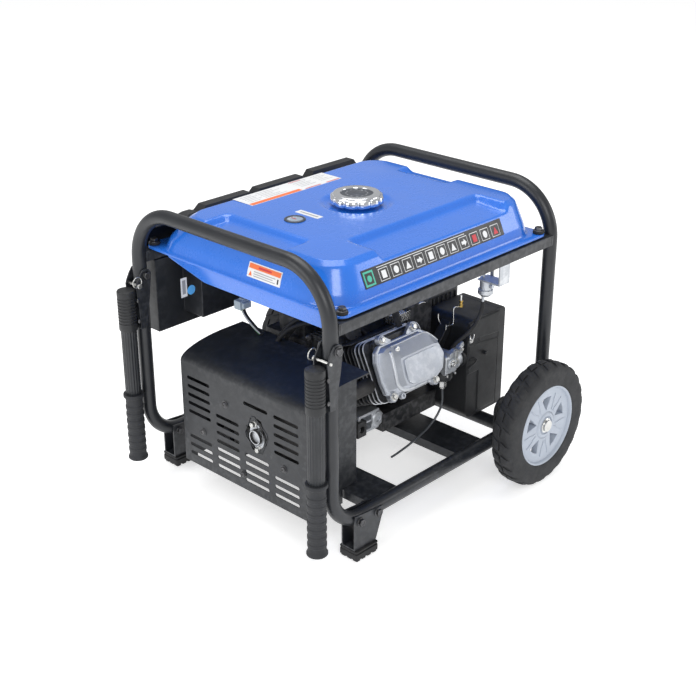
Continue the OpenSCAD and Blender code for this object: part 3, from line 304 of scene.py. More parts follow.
class Shape:
    """Collects solids in one mesh. Each call takes millimetres and a function that places them."""

    def __init__(self):
        self.bm = bmesh.new()

    def loft(self, rings, caps=True, closed=False):
        rows = [[self.bm.verts.new(p) for p in ring] for ring in rings]
        n = len(rows[0])
        pairs = list(zip(rows, rows[1:])) + ([(rows[-1], rows[0])] if closed else [])
        for low, high in pairs:
            for i in range(n):
                j = (i + 1) % n
                self.bm.faces.new((low[i], low[j], high[j], high[i]))
        if caps and not closed:
            self.bm.faces.new(rows[0][::-1])
            self.bm.faces.new(rows[-1])
        return self

    def prism(self, outline, w0, w1, to=place):
        return self.loft([[to(u, v, w) for u, v in outline] for w in (w0, w1)])

    def stack(self, layers, to=place, **options):
        """Outlines at given heights, all with the same number of points."""
        return self.loft([[to(u, v, w) for u, v in outline] for outline, w in layers], **options)

    def box(self, lo, hi, to=place):
        return self.prism([(lo[0], lo[1]), (hi[0], lo[1]), (hi[0], hi[1]), (lo[0], hi[1])], lo[2], hi[2],
                          to)

    def lathe(self, profile, to=place, n=48, ripple=None, caps=True):
        rings = []
        for r, w in profile:
            ring = []
            for i in range(n):
                a = TAU * i / n
                rr = r * (1 + ripple(a, w)) if ripple else r
                ring.append(to(rr * math.cos(a), rr * math.sin(a), w))
            rings.append(ring)
        return self.loft(rings, caps)

    def ring_lathe(self, profile, to=place, n=96):
        """A closed profile turned all the way round."""
        rings = [[to(r * math.cos(TAU * i / n), r * math.sin(TAU * i / n), w) for r, w in profile]
                 for i in range(n)]
        return self.loft(rings, caps=False, closed=True)

    def tube(self, points, r, sides=20):
        """A round bar along a list of points that are already in metres; r may be a list."""
        rings = []
        side = None
        for i, p in enumerate(points):
            ahead = (points[min(i + 1, len(points) - 1)] - points[max(i - 1, 0)]).normalized()
            if side is None:
                side = ahead.orthogonal().normalized()
            side = (side - ahead * side.dot(ahead)).normalized()
            up = ahead.cross(side)
            radius = (r[i] if isinstance(r, (list, tuple)) else r) * MM
            rings.append([p + radius * (math.cos(TAU * k / sides) * side + math.sin(TAU * k / sides) * up)
                          for k in range(sides)])
        return self.loft(rings)

    def bolt(self, to, across=10, washer=7.5, h=5.5, start=0.0):
        """Flanged hexagon head with a domed top and a dished middle."""
        self.lathe([(washer, start), (washer, start + 1.2), (across * 0.52, start + 2.1)], to, 32)
        hexagon = polygon(0, 0, across / 2 / math.cos(math.radians(30)), 6)
        chamfer = scaled(hexagon, 0.9)
        dish = scaled(hexagon, 0.62)
        self.stack([(hexagon, start + 1.4), (hexagon, start + h - 0.8), (chamfer, start + h),
                    (dish, start + h), (dish, start + h - 0.7)], to)
        return self

    def done(self, name, finish, **options):
        return finish_mesh(name, self.bm, finish, **options)


def facing(x, y, z, axis, up=(0, 0, 1)):
    """Placing function for a local drawing: origin in millimetres, w along axis, v towards up."""
    w = Vector(axis).normalized()
    u = Vector(up).cross(w).normalized()
    v = w.cross(u)

    def to(a, b, c):
        return place(x, y, z) + (a * u + b * v + c * w) * MM
    return to


def upright(x, y, z):
    """Placing function for a local drawing that stands up, with its second axis along +Y."""
    return facing(x, y, z, (0, 0, 1), (0, 1, 0))


def shifted(to, du, dv):
    """The same placing function with its origin moved in the drawing's plane."""
    return lambda u, v, w: to(du + u, dv + v, w)


def scaled(outline, ku, kv=None):
    return [(u * ku, v * (ku if kv is None else kv)) for u, v in outline]


def polygon(u, v, r, n=20):
    """Corners of a regular polygon, or with many corners a disc."""
    return [(u + r * math.cos(TAU * k / n), v + r * math.sin(TAU * k / n)) for k in range(n)]


def rounded(x0, x1, y0, y1, r, corner=6, edge=1):
    """Outline of a rectangle with round corners; edge is the number of steps along each side."""
    points = []
    corners = ((x1 - r, y1 - r, 0), (x0 + r, y1 - r, 90), (x0 + r, y0 + r, 180), (x1 - r, y0 + r, 270))
    for i, (cx, cy, start) in enumerate(corners):
        for k in range(corner + 1):
            a = math.radians(start + 90 * k / corner)
            points.append((cx + r * math.cos(a), cy + r * math.sin(a)))
        nx, ny, after = corners[(i + 1) % 4]
        a = math.radians(after)
        last = points[-1]
        goal = (nx + r * math.cos(a), ny + r * math.sin(a))
        for k in range(1, edge):
            t = k / edge
            points.append((last[0] + (goal[0] - last[0]) * t, last[1] + (goal[1] - last[1]) * t))
    return points


def slit(u, v, w, h, corner=8):
    return rounded(u - w / 2, u + w / 2, v - h / 2, v + h / 2, h / 2 - 0.01, corner)


def arc(centre, u, v, r, start, end, steps):
    """Points in metres on an arc about a centre in millimetres, from the direction u towards v."""
    out = []
    for i in range(steps + 1):
        a = math.radians(start + (end - start) * i / steps)
        out.append(place(*centre) + r * MM * (math.cos(a) * Vector(u) + math.sin(a) * Vector(v)))
    return out


def spline(points, steps=6):
    """Catmull-Rom curve through points in metres."""
    out = []
    ends = [points[0] * 2 - points[1]] + list(points) + [points[-1] * 2 - points[-2]]
    for a, b, c, d in zip(ends, ends[1:], ends[2:], ends[3:]):
        for k in range(steps):
            t = k / steps
            out.append(0.5 * (2 * b + (c - a) * t + (2 * a - 5 * b + 4 * c - d) * t * t
                              + (3 * b - a - 3 * c + d) * t ** 3))
    out.append(points[-1])
    return out


def route(points, steps=6, to=place):
    """Smooth curve in metres through points in millimetres."""
    return spline([to(*p) for p in points], steps)


# ---------------------------------------------------------------- the free vent tube

VENT_ROUTE = [
    (101, -160, 181), (102, -160, 171), (103, -160, 160), (102, -160, 149), (98, -160, 138),
    (91, -159, 127), (82, -158, 117), (71, -157, 109), (59, -156, 102), (46, -155, 97), (33, -154, 92),
    (19, -153, 88), (5, -152, 84), (-9, -151, 81), (-23, -151, 79), (-37, -150, 77)]


def make_vent_tube():
    points = [place(*p) for p in VENT_ROUTE]
    length = sum((b - a).length for a, b in zip(points, points[1:]))
    curve = bpy.data.curves.new("vent_hose", "CURVE")
    curve.dimensions = "3D"
    curve.bevel_depth = 2.3 * MM
    curve.bevel_resolution = 5
    curve.use_fill_caps = True
    line = curve.splines.new("POLY")
    line.points.add(len(points) - 1)
    for point, at in zip(line.points, points):
        point.co = (*at, 1)
    piece = bpy.data.objects.new("vent_hose", curve)
    bpy.context.scene.collection.objects.link(piece)
    curve.materials.append(FINISH["clear_tube"])
    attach(piece, "root")
    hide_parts("vent_tube")
    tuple(points[0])


make_vent_tube()


# ---------------------------------------------------------------- room

FLOOR_GLOW = 0.52
SKY_STRENGTH = 0.5
# Name, place in metres, size in metres, power in watts
LAMPS = (("key", (-1.9, -2.4, 2.2), 1.5, 42), ("left", (-3.0, 0.9, 1.5), 1.5, 26),
         ("top", (0.3, 0.5, 3.0), 2.0, 48), ("right", (2.6, -2.2, 1.3), 1.2, 16))
LAMP_TARGET = (0, 0, 0.3)


def make_room():
    bm = bmesh.new()
    bmesh.ops.create_grid(bm, x_segments=2, y_segments=2, size=30)
    mesh = bpy.data.meshes.new("floor")
    bm.to_mesh(mesh)
    bm.free()
    floor = bpy.data.objects.new("floor", mesh)
    bpy.context.scene.collection.objects.link(floor)
    floor.location.z = -0.0005
    floor.data.materials.append(surface("floor_pale", (0.88, 0.88, 0.88), 0.8, tone=0.005, patch=0.7,
                                        grain=60,
                                        depth=0.0001, strength=0.03, speck=0.0,
                                        Emission_Color=(1, 1, 1, 1), Emission_Strength=FLOOR_GLOW))
    world = bpy.data.worlds.new("studio")
    bpy.context.scene.world = world
    world.use_nodes = True
    world.node_tree.nodes["Background"].inputs["Color"].default_value = (1, 1, 1, 1)
    world.node_tree.nodes["Background"].inputs["Strength"].default_value = SKY_STRENGTH
    bpy.context.scene.view_settings.view_transform = "Standard"
    for name, at, size, power in LAMPS:
        lamp = bpy.data.lights.new(name, "AREA")
        lamp.size = size
        lamp.energy = power
        light = bpy.data.objects.new(name, lamp)
        bpy.context.scene.collection.objects.link(light)
        light.location = at
        light.rotation_euler = (Vector(LAMP_TARGET) - Vector(at)).to_track_quat("-Z", "Y").to_euler()


make_room()


# ---------------------------------------------------------------- frame

HOOP_X = 309
HOOP_Y = 251
HOOP_TOP = 563
RAIL_Z = 79
TUBE_R = 13.5
PIVOT_Z = 432
RAIL_BEND = 75
TOP_BEND = 100
BEAM_Z = 465
BEAM_TOP = 488


def make_hoop(name, node, side):
    """A hoop and the half rails it bends into; side is -1 for the handle end."""
    x = side * HOOP_X
    points = []
    for k in (-1, 1):
        half = [place(0, k * HOOP_Y, RAIL_Z), place(x * 0.4, k * HOOP_Y, RAIL_Z)]
        half += arc((x - side * RAIL_BEND, k * HOOP_Y, RAIL_Z + RAIL_BEND), (0, 0, -1), (side, 0, 0),
                    RAIL_BEND, 0, 90,
                    20)
        half += arc((x, k * (HOOP_Y - TOP_BEND), HOOP_TOP - TOP_BEND), (0, k, 0), (0, 0, 1), TOP_BEND, 0,
                    90, 24)
        points += half if k < 0 else half[::-1]
    Shape().tube(points, TUBE_R, 48).done(name, "powder_black", replaces=(node,), angle=60)


make_hoop("hoop_tube_handle_end", "hoop_handle_end", -1)
make_hoop("hoop_tube_wheel_end", "hoop_wheel_end", 1)
refine("frame_members", "powder_black", 0.0012, 3)
refine("axle_brackets", "powder_black", 0.0006)
refine("axle", "zinc", 0.0008)


def make_frame_welds():
    """Fillet beads where the side beams and channels meet the tubes."""
    beads = Shape()
    for sx in (-1, 1):
        for sy in (-1, 1):
            to = facing(sx * (HOOP_X - 12.5), sy * HOOP_Y, BEAM_Z, (-sx, 0, 0))
            outline = rounded(-12.5, 12.5, -10.5, 10.5, 3, 4, 4)
            inner = rounded(-11.5, 11.5, -9.5, 9.5, 3, 4, 4)
            beads.stack([(outline, -1.5), (outline, 1.0), (inner, 4.0)], to)
    beads.done("beam_welds", "powder_black", angle=60)


make_frame_welds()


def make_feet():
    """Folded feet with rounded sole edges, and pads with lugs and a stepped top."""
    refine("foot_brackets", "powder_black", 0.0009, 3)
    pads = Shape()
    for sy in (-1, 1):
        y = sy * HOOP_Y
        for z0, z1, g in ((4.5, 15.5, 0), (15.5, 19.0, -2.2), (19.0, 22, 0)):
            pads.prism(rounded(-267 - g * 0.4, -209 + g * 0.4, y - 22 - g, y + 22 + g, 4), z0, z1)
        for i in range(4):
            for j in range(3):
                lug = rounded(-265 + 14.2 * i, -265 + 14.2 * i + 11, y - 20 + 14 * j,
                              y - 20 + 14 * j + 11.5, 2.5)
                toe = [(u + (0.8 if u < -259 + 14.2 * i else -0.8), v) for u, v in lug]
                pads.stack([(toe, 0), (lug, 1.2), (lug, 6)])
    pads.done("foot_pads_lugged", "rubber", replaces=("foot_pads",), bevel=0.0008)
    bolts = Shape()
    for sy in (-1, 1):
        for x in (-252, -206):
            bolts.bolt(facing(x, sy * (HOOP_Y + 16.7), RAIL_Z, (0, sy, 0)), 13, 8.5, 7)
            bolts.bolt(facing(x, sy * (HOOP_Y - 16.7), RAIL_Z, (0, -sy, 0)), 13, 7.5, 7)
        bolts.bolt(facing(-HOOP_X, sy * (HOOP_Y + 17.3), PIVOT_Z, (0, sy, 0)), 13, 8.5, 6.6)
        bolts.bolt(facing(-HOOP_X, sy * (HOOP_Y - 17.3), PIVOT_Z, (0, -sy, 0)), 13, 7, 6.6)
        for x in (-275, 275):
            bolts.bolt(upright(x, sy * 245, BEAM_TOP), 13, 10, 7)
            bolts.lathe([(3.9, 470), (3.9, 490)], upright(x, sy * 245, 0), 24)
    bolts.done("frame_bolt_heads", "dark_zinc", replaces=("frame_bolts",), bevel=0.0003)


make_feet()


# ---------------------------------------------------------------- tank

TANK_TOP = 552
FILLER = (17, -5)
FILLER_R = 23.5
GAUGE = (-137, 5)
SHEET = 2.2
TANK_RINGS = [
    (482, -285, 285, -240, 240, 62), (504, -279, 279, -234, 228, 58), (544, -262, 270, -215, 187, 50),
    (551.9, -252, 262, -205, 175, 44)]


def smooth(edge0, edge1, value):
    """Smooth step from 0 to 1."""
    t = min(max((value - edge0) / (edge1 - edge0), 0.0), 1.0)
    return t * t * (3 - 2 * t)


def soft_min(a, b, k):
    h = max(k - abs(a - b), 0) / k
    return min(a, b) - h * h * k / 4


def window(value, low, high, soft):
    """1 between low and high, with smooth edges."""
    return smooth(low - soft, low + soft, value) * (1 - smooth(high - soft, high + soft, value))


def pressed(x, y, z):
    """Height after pressing the three pockets and the dish round the filler."""
    for mask, floor in (
            ((1 - smooth(-209, -194, x)) * window(y, -90, 116, 6), TANK_TOP - 10 - (-200 - x) * 0.035),
            ((1 - smooth(-150, -136, y)) * window(x, -147, 207, 6), TANK_TOP - 11 - (-144 - y) * 0.075),
            (smooth(226, 240, x) * window(y, -47, 76, 6), TANK_TOP - 9 - (x - 234) * 0.06)):
        if mask > 0:
            z += (soft_min(z, floor, 5) - z) * mask
    r = math.hypot(x - FILLER[0], y - FILLER[1])
    return z - 5.5 * smooth(32, 38, r) * (1 - smooth(56, 72, r))


def tank_section(t):
    """The dome's outline numbers at t from 0 at the flange to 1 at the flat top."""
    spot = t * (len(TANK_RINGS) - 1)
    i = min(int(spot), len(TANK_RINGS) - 2)
    return [a + (b - a) * (spot - i) for a, b in zip(TANK_RINGS[i], TANK_RINGS[i + 1])]


def make_tank():
    steps = 54
    sections = [tank_section(i / steps) for i in range(steps + 1)]
    for _ in range(6):
        sections = [sections[0]] + [
            [(a + 2 * b + c) / 4 for a, b, c in zip(*trio)]
            for trio in zip(sections, sections[1:], sections[2:])] + [sections[-1]]
    edge, corner = 96, 14
    outer = []
    for z, x0, x1, y0, y1, r in sections:
        outer.append([(x, y, z) for x, y in rounded(x0, x1, y0, y1, r, corner, edge)])
    rim = outer[-1]
    n = len(rim)
    inward = 60
    hole = []
    for x, y, _ in rim:
        a = math.atan2(y - FILLER[1], x - FILLER[0])
        hole.append((FILLER[0] + FILLER_R * math.cos(a), FILLER[1] + FILLER_R * math.sin(a)))
    for k in range(1, inward + 1):
        t = k / inward
        outer.append([(rim[i][0] + (hole[i][0] - rim[i][0]) * t, rim[i][1] + (hole[i][1] - rim[i][1]) * t,
                       TANK_TOP + 0.9 * smooth(0, 0.4, t)) for i in range(n)])
    skin = [[(x, y, pressed(x, y, z)) for x, y, z in ring] for ring in outer]
    middle = (5, -12)
    lining = [[(middle[0] + (x - middle[0]) * 0.992, middle[1] + (y - middle[1]) * 0.992, z - SHEET)
               for x, y, z in ring] for ring in skin]
    lining = [ring for ring in lining if min(p[2] for p in ring) > 481]
    flange_low = [(x, y, 480.1) for x, y in rounded(-281, 281, -236, 236, 60, corner, edge)]
    flange = []
    for g, z in ((0, 480.1), (-0.0, 481.4), (-0.6, 482.0)):
        flange.append([(x, y, z) for x, y in rounded(-290 - g, 290 + g, -258 - g, 258 + g, 20, corner,
                                                     edge)])
    fillet = []
    for g, z in ((3.2, 482.0), (1.2, 482.5), (0.3, 484.0)):
        fillet.append([(x, y, z) for x, y in rounded(-285 - g, 285 + g, -240 - g, 240 + g, 62, corner,
                                                     edge)])
    rings = [flange_low] + flange + fillet + skin[3:] + lining[::-1]
    shape = Shape()
    shape.loft([[place(*p) for p in ring] for ring in rings], closed=True)
    shape.done("tank_upper_shell", "tank_paint", replaces=("tank_upper",), angle=50)


make_tank()
refine("tank_lower", "tank_paint", 0.003, 4)
refine("tank_bushes", "rubber", 0.0015, 3)
refine("fuel_strainer", "zinc", 0.0004)


def make_cap():
    """Fluted filler cap: twelve lobes with soft shoulders, a flat ring on top and a sunk dark disc."""
    def lobes(depth):
        return lambda a, w: depth * (abs(math.cos(6 * a)) ** 0.55 - 1)
    to = upright(FILLER[0], FILLER[1], TANK_TOP)
    cap = Shape()
    profile = [(49, 1.2), (51.6, 2.4), (51.9, 4), (51.6, 12), (50.2, 14.6), (47.5, 16.2), (45.5, 16.8)]
    cap.lathe(profile, to, 288, lobes(0.075), caps=False)
    cap.done("fuel_cap_skirt", "chrome", body="cap", angle=70)
    top = Shape()
    top.ring_lathe([(31, 15.5), (31.2, 19.0), (32.0, 19.9), (43.2, 20.0), (44.6, 19.4), (45.8, 17.4),
                    (46.4, 15.5)], to, 144)
    top.done("fuel_cap_ring", "chrome", body="cap", replaces=("fuel_cap",), angle=40)
    underside = Shape()
    underside.ring_lathe([(30.2, 1.0), (46.5, 1.0), (46.5, 15.9), (28, 15.9), (28, 13.9), (12.1, 13.9),
                          (12.1, 10.2), (30.2, 10.2)], to, 96)
    underside.done("fuel_cap_underside", "chrome", body="cap", angle=30, bevel=0.0003)
    disc = Shape()
    disc.lathe([(31.2, 15), (31.2, 18.2), (29.4, 18.6), (28.6, 18.1), (12, 18.0), (11, 18.6), (1, 18.7)],
               to, 96)
    disc.done("fuel_cap_disc", "dark_disc", body="cap", angle=40)
    marks = Shape()
    for i in range(12):
        a = math.radians(30 * i + 15)
        spoke = facing(FILLER[0] + 20.5 * math.cos(a), FILLER[1] + 20.5 * math.sin(a), TANK_TOP, (0, 0, 1),
                       (math.cos(a), math.sin(a), 0))
        marks.prism(slit(0, 0, 5.2, 2.0), 18.0, 18.45, spoke)
    marks.done("fuel_cap_marks", "chrome", body="cap")


make_cap()
refine("fuel_cap_insert", "moulded_black", 0.0006)


def make_gauge():
    to = upright(*GAUGE, TANK_TOP)
    ring = Shape().ring_lathe([(15.2, 0.4), (15.4, 2.8), (16.2, 3.7), (18.4, 3.6), (19.8, 2.6), (20, 0.4)],
                              to, 96)
    ring.done("fuel_gauge_ring", "dark_disc", replaces=("fuel_gauge",), angle=40)
    Shape().lathe([(15.4, 0.4), (15.4, 2.0), (13.5, 2.4), (1, 2.5)], to, 64).done("fuel_gauge_dial",
                                                                                  "gauge_grey")
    marks = Shape()
    for a in range(-60, 61, 30):
        t = math.radians(a)
        tick = facing(GAUGE[0] + 10.5 * math.sin(t), GAUGE[1] + 10.5 * math.cos(t), TANK_TOP, (0, 0, 1),
                      (math.sin(t), math.cos(t), 0))
        marks.box((-0.5, -1.8, 2.4), (0.5, 1.8, 2.8), tick)
    marks.done("fuel_gauge_marks", "label_white")
    needle = Shape().prism([(-1.0, -3), (1.0, -3), (0.3, 10), (-0.3, 10)], 2.6, 3.1, to)
    needle.done("fuel_gauge_needle", "label_red")


make_gauge()


def tank_wall(z, k):
    """Where the tank's wall is at a height; k is 1 or 2 for the ends and 3 or 4 for the sides."""
    for low, high in zip(TANK_RINGS, TANK_RINGS[1:]):
        if z <= high[0]:
            return low[k] + (high[k] - low[k]) * (z - low[0]) / (high[0] - low[0])
    return TANK_RINGS[-1][k]


def on_top(u, v, w):
    return place(u, v, TANK_TOP + 0.8 + w)


def on_front_wall(u, v, w):
    return place(u, tank_wall(v, 3) - w, v)


def on_end_wall(u, v, w):
    return place(tank_wall(v, 1) - w, -u, v)


class Sticker:
    """Thin coloured fields that follow a curved wall, gathered by finish into one mesh each."""

    def __init__(self, name, to):
        self.name = name
        self.to = to
        self.shapes = {}

    def field(self, finish, u0, u1, v0, v1, lift=0.9):
        shape = self.shapes.setdefault(finish, Shape())
        rows = 6
        shape.loft([[self.to(u, v0 + (v1 - v0) * k / rows, w)
                     for u, w in ((u0, 0.05), (u1, 0.05), (u1, lift),
                                  (u0, lift))] for k in range(rows + 1)])
        return self

    def spot(self, finish, outline, lift=1.3):
        self.shapes.setdefault(finish, Shape()).prism(outline, 0.1, lift, self.to)
        return self

    def done(self):
        for finish, shape in self.shapes.items():
            shape.done(self.name + "_" + finish, finish, angle=40)


def make_top_labels():
    """Plain coloured fields in place of the printed labels on the flat top."""
    label = Sticker("top_label", on_top)
    label.field("label_white", -136, 106, 120, 176, 0.35)
    label.field("label_orange", -134, -3, 121, 131.5, 0.55)
    label.field("label_red", 8, 50, 121.5, 124.5, 0.55).field("label_red", 66, 102, 121.5, 124.5, 0.55)
    for row in range(5):
        v = 138 + 7.4 * row
        label.field("label_grey", -124, -96 + 9 * (row % 2), v, v + 1.1, 0.5)
        label.field("label_grey", -84, -28 - 11 * (row % 3), v, v + 1.1, 0.5)
        label.field("label_grey", 10, 52 - 8 * (row % 2), v, v + 1.1, 0.5)
        label.field("label_grey", 66, 100 - 7 * (row % 3), v, v + 1.1, 0.5)
    label.field("label_red", 8, 40, 171, 173, 0.55)
    label.done()
    strip = Sticker("gauge_label", on_top)
    strip.field("label_white", -106, -90, -22, 37, 0.35)
    strip.field("label_grey", -100, -96, -16, 30, 0.5)
    strip.done()


make_top_labels()


def make_wall_labels():
    """The striped notice at the handle end and the strip of simple marks along the front wall."""
    notice = Sticker("end_label", on_end_wall)
    notice.field("label_white", 22, 105, 492, 517)
    notice.field("label_orange", 24, 103, 507.5, 515.5, 1.15)
    notice.field("label_red", 48, 80, 510, 513, 1.4)
    for row in range(3):
        notice.field("label_grey", 38, 92 - 6 * (row % 2), 495.2 + 3.8 * row, 496.4 + 3.8 * row, 1.15)
    notice.spot("label_orange", [(26, 495), (34, 495), (30, 503)])
    notice.spot("label_black", [(97, 496), (100, 496), (100, 504), (97, 504)])
    notice.done()
    strip = Sticker("front_label", on_front_wall)
    strip.field("label_black", -206, 178, 502, 531)
    strip.field("label_white", -168, 70, 527.6, 528.6, 1.15)
    strip.field("label_green", -203, -179, 504.5, 528, 1.15).field("label_black", -200, -182, 507.5, 525,
                                                                   1.35)
    strip.spot("label_green", polygon(-191, 516, 5.2), 1.7)
    for k in range(11):
        u = -166 + 31 * k
        accent = "label_red" if k in (8, 10) else "label_white"
        strip.field("label_white", u, u + 23, 505, 525, 1.15).field("label_black", u + 1, u + 22, 506, 524,
                                                                    1.35)
        mark = (
            [(u + 6, 509), (u + 17, 509), (u + 17, 521), (u + 6, 521)],
            polygon(u + 11.5, 515, 6),
            [(u + 5, 509), (u + 18, 509), (u + 11.5, 521)],
            [(u + 5, 512.5), (u + 12, 512.5), (u + 12, 509), (u + 19, 515), (u + 12, 521), (u + 12, 517.5),
             (u + 5, 517.5)])[k % 4]
        strip.spot(accent, mark, 1.7)
    strip.done()


make_wall_labels()


# ---------------------------------------------------------------- wheels

AXLE_X = 200
TYRE_R = 127
TYRE_W = 48
FACE_Y = 349.2
RIM_R = 82.5


def at_wheel(side, turn=0.0):
    """Local drawing of a wheel: w runs from its outer face inwards."""
    c, s = math.cos(turn), math.sin(turn)

    def to(u, v, w):
        return place(AXLE_X + u * c - v * s, side * (FACE_Y - w), TYRE_R + u * s + v * c)
    return to


def make_tyre(name, side, body, node):
    """Smooth flat sidewalls, a rounded shoulder and low zigzag tread blocks."""
    tyre = Shape()
    carcass = [
        (76, 9), (RIM_R - 0.6, 3.4), (RIM_R + 0.3, 1.7), (84.5, 0.9), (88, 0.6), (100, 0.5), (110, 0.6),
        (115.5, 1.2),
        (119.5, 2.8), (122, 5.6), (123.2, 10), (123.6, 24), (123.2, 38), (122, 42.4), (119.5, 45.2),
        (115.5, 46.8),
        (110, 47.4), (100, 47.5), (88, 47.4), (84.5, 47.1), (RIM_R, 45), (76, 40)]
    tyre.ring_lathe(carcass, at_wheel(side), 160)
    tyre.done(name + "_carcass", "tyre", body=body, replaces=(node,), angle=50)
    lugs = Shape()
    count = 26
    profile = [(118.6, 2.4), (121.6, 3.2), (124.8, 6.2), (126.6, 10.5), (126.9, 14), (126.9, 21.8),
               (122, 22.4),
               (120, 10)]
    for i in range(count):
        for half in (0, 1):
            start = TAU * (i + 0.5 * half) / count
            rings = []
            for k in range(5):
                t = k / 4
                pinch = 0.8 if k in (0, 4) else 0.0
                ring = []
                for r, w in profile:
                    skew = 0.07 * max(w - 5, 0) / 17
                    a = start + (0.03 + 0.150 * t) + (skew if half else -skew)
                    rr = r - pinch if r > 121 else r
                    ww = w if not half else TYRE_W - w
                    ring.append(at_wheel(side)(rr * math.cos(a), rr * math.sin(a), ww))
                rings.append(ring)
            lugs.loft(rings)
    lugs.done(name + "_lugs", "tyre", body=body, angle=35, bevel=0.0005)


def ray_to_edge(centre, toward, corners):
    """Where a ray from the centre towards a point leaves a polygon."""
    dx, dy = toward[0] - centre[0], toward[1] - centre[1]
    best = None
    for (ax, ay), (bx, by) in zip(corners, corners[1:] + corners[:1]):
        ex, ey = bx - ax, by - ay
        cross = dx * ey - dy * ex
        if abs(cross) < 1e-9:
            continue
        t = ((ax - centre[0]) * ey - (ay - centre[1]) * ex) / cross
        s = ((ax - centre[0]) * dy - (ay - centre[1]) * dx) / cross
        if t > 0 and -1e-6 <= s <= 1 + 1e-6 and (best is None or t < best):
            best = t
    return centre[0] + dx * best, centre[1] + dy * best


def make_rim(name, side, body, node):
    """Moulded wheel: rounded lip, flat disc with five windows, raised outlines and a domed hub."""
    disc = Shape()
    disc.ring_lathe([
        (RIM_R - 5, 6.4), (RIM_R - 4, 3.2), (RIM_R - 2.4, 1.5), (RIM_R - 1, 0.9), (RIM_R, 1.2),
        (RIM_R + 0.2, 3),
        (RIM_R - 1, 5), (76, 10), (76, 38), (RIM_R - 1, 43), (RIM_R - 2, 44.6), (RIM_R - 5, 43), (74, 36),
        (74, 12)],
        at_wheel(side), 160)
    disc.ring_lathe([(8.6, 6.2), (14, 5.4), (16.2, 5.4), (17, 7.2), (18.4, 7.2), (19.2, 4.8), (23.5, 4.4),
                     (26, 5.4),
                     (28.4, 8), (29.6, 11), (30, 20), (24, 24), (22.6, 45.5), (21, 46), (8.6, 46)],
                     at_wheel(side), 96)
    window = [(31.5, 0), (58, -14.5), (60, 0), (58, 14.5)]
    middle = (50, 0)
    half = math.radians(36)
    outer_r, inner_r = RIM_R - 4.4, 28
    outline = [(inner_r + (outer_r - inner_r) * k / 8, -half) for k in range(8)]
    outline += [(outer_r, -half + 2 * half * k / 24) for k in range(24)]
    outline += [(outer_r - (outer_r - inner_r) * k / 8, half) for k in range(8)]
    outline += [(inner_r, half - 2 * half * k / 10) for k in range(10)]
    points = [(r * math.cos(a), r * math.sin(a)) for r, a in outline]
    hole = [ray_to_edge(middle, p, window) for p in points]
    soft = [(u + (p[0] - u) * 0.06, v + (p[1] - v) * 0.06) for (u, v), p in zip(hole, points)]
    for i in range(5):
        to = at_wheel(side, TAU * i / 5 + math.radians(18))
        disc.stack(((points, 6.6), (soft, 6.9), (hole, 7.8), (hole, 20.5), (points, 21)), to, caps=False)
    disc.done(name + "_body", "rim_grey", body=body, replaces=(node,), angle=30)
    frames = Shape()
    for i in range(5):
        to = at_wheel(side, TAU * i / 5 + math.radians(54))
        for s in (-1, 1):
            line = [(33, 3.2 * s), (41, 4.4 * s), (49, 8.6 * s), (66, 12.5 * s)]
            for (u0, v0), (u1, v1) in zip(line, line[1:]):
                away = Vector((v0 - v1, u1 - u0)).normalized() * 0.8
                frames.prism([(u0 + away.x, v0 + away.y), (u1 + away.x, v1 + away.y),
                              (u1 - away.x, v1 - away.y),
                              (u0 - away.x, v0 - away.y)], 5.5, 8, to)
    frames.done(name + "_frames", "rim_grey", body=body, bevel=0.0003, angle=34)
    nut = Shape()
    nut.ring_lathe([(8.6, 5.6), (8.6, 3.4), (14.2, 3.4), (15.0, 4.0), (15.0, 5.6)], at_wheel(side), 64)
    nut.done(name + "_washer", "bright_steel", body=body, angle=30)


for wheel_side, label in ((-1, "engine_side"), (1, "panel_side")):
    make_tyre("tyre_" + label, wheel_side, "wheel_" + label, "tyre_" + label)
    make_rim("rim_" + label, wheel_side, "wheel_" + label, "wheel_rim_" + label)


# ---------------------------------------------------------------- handles

# The folded handle's bar hangs this far outside its pivot, and its grip ends this far below
BAR_OUT = 36
GRIP_END = -384


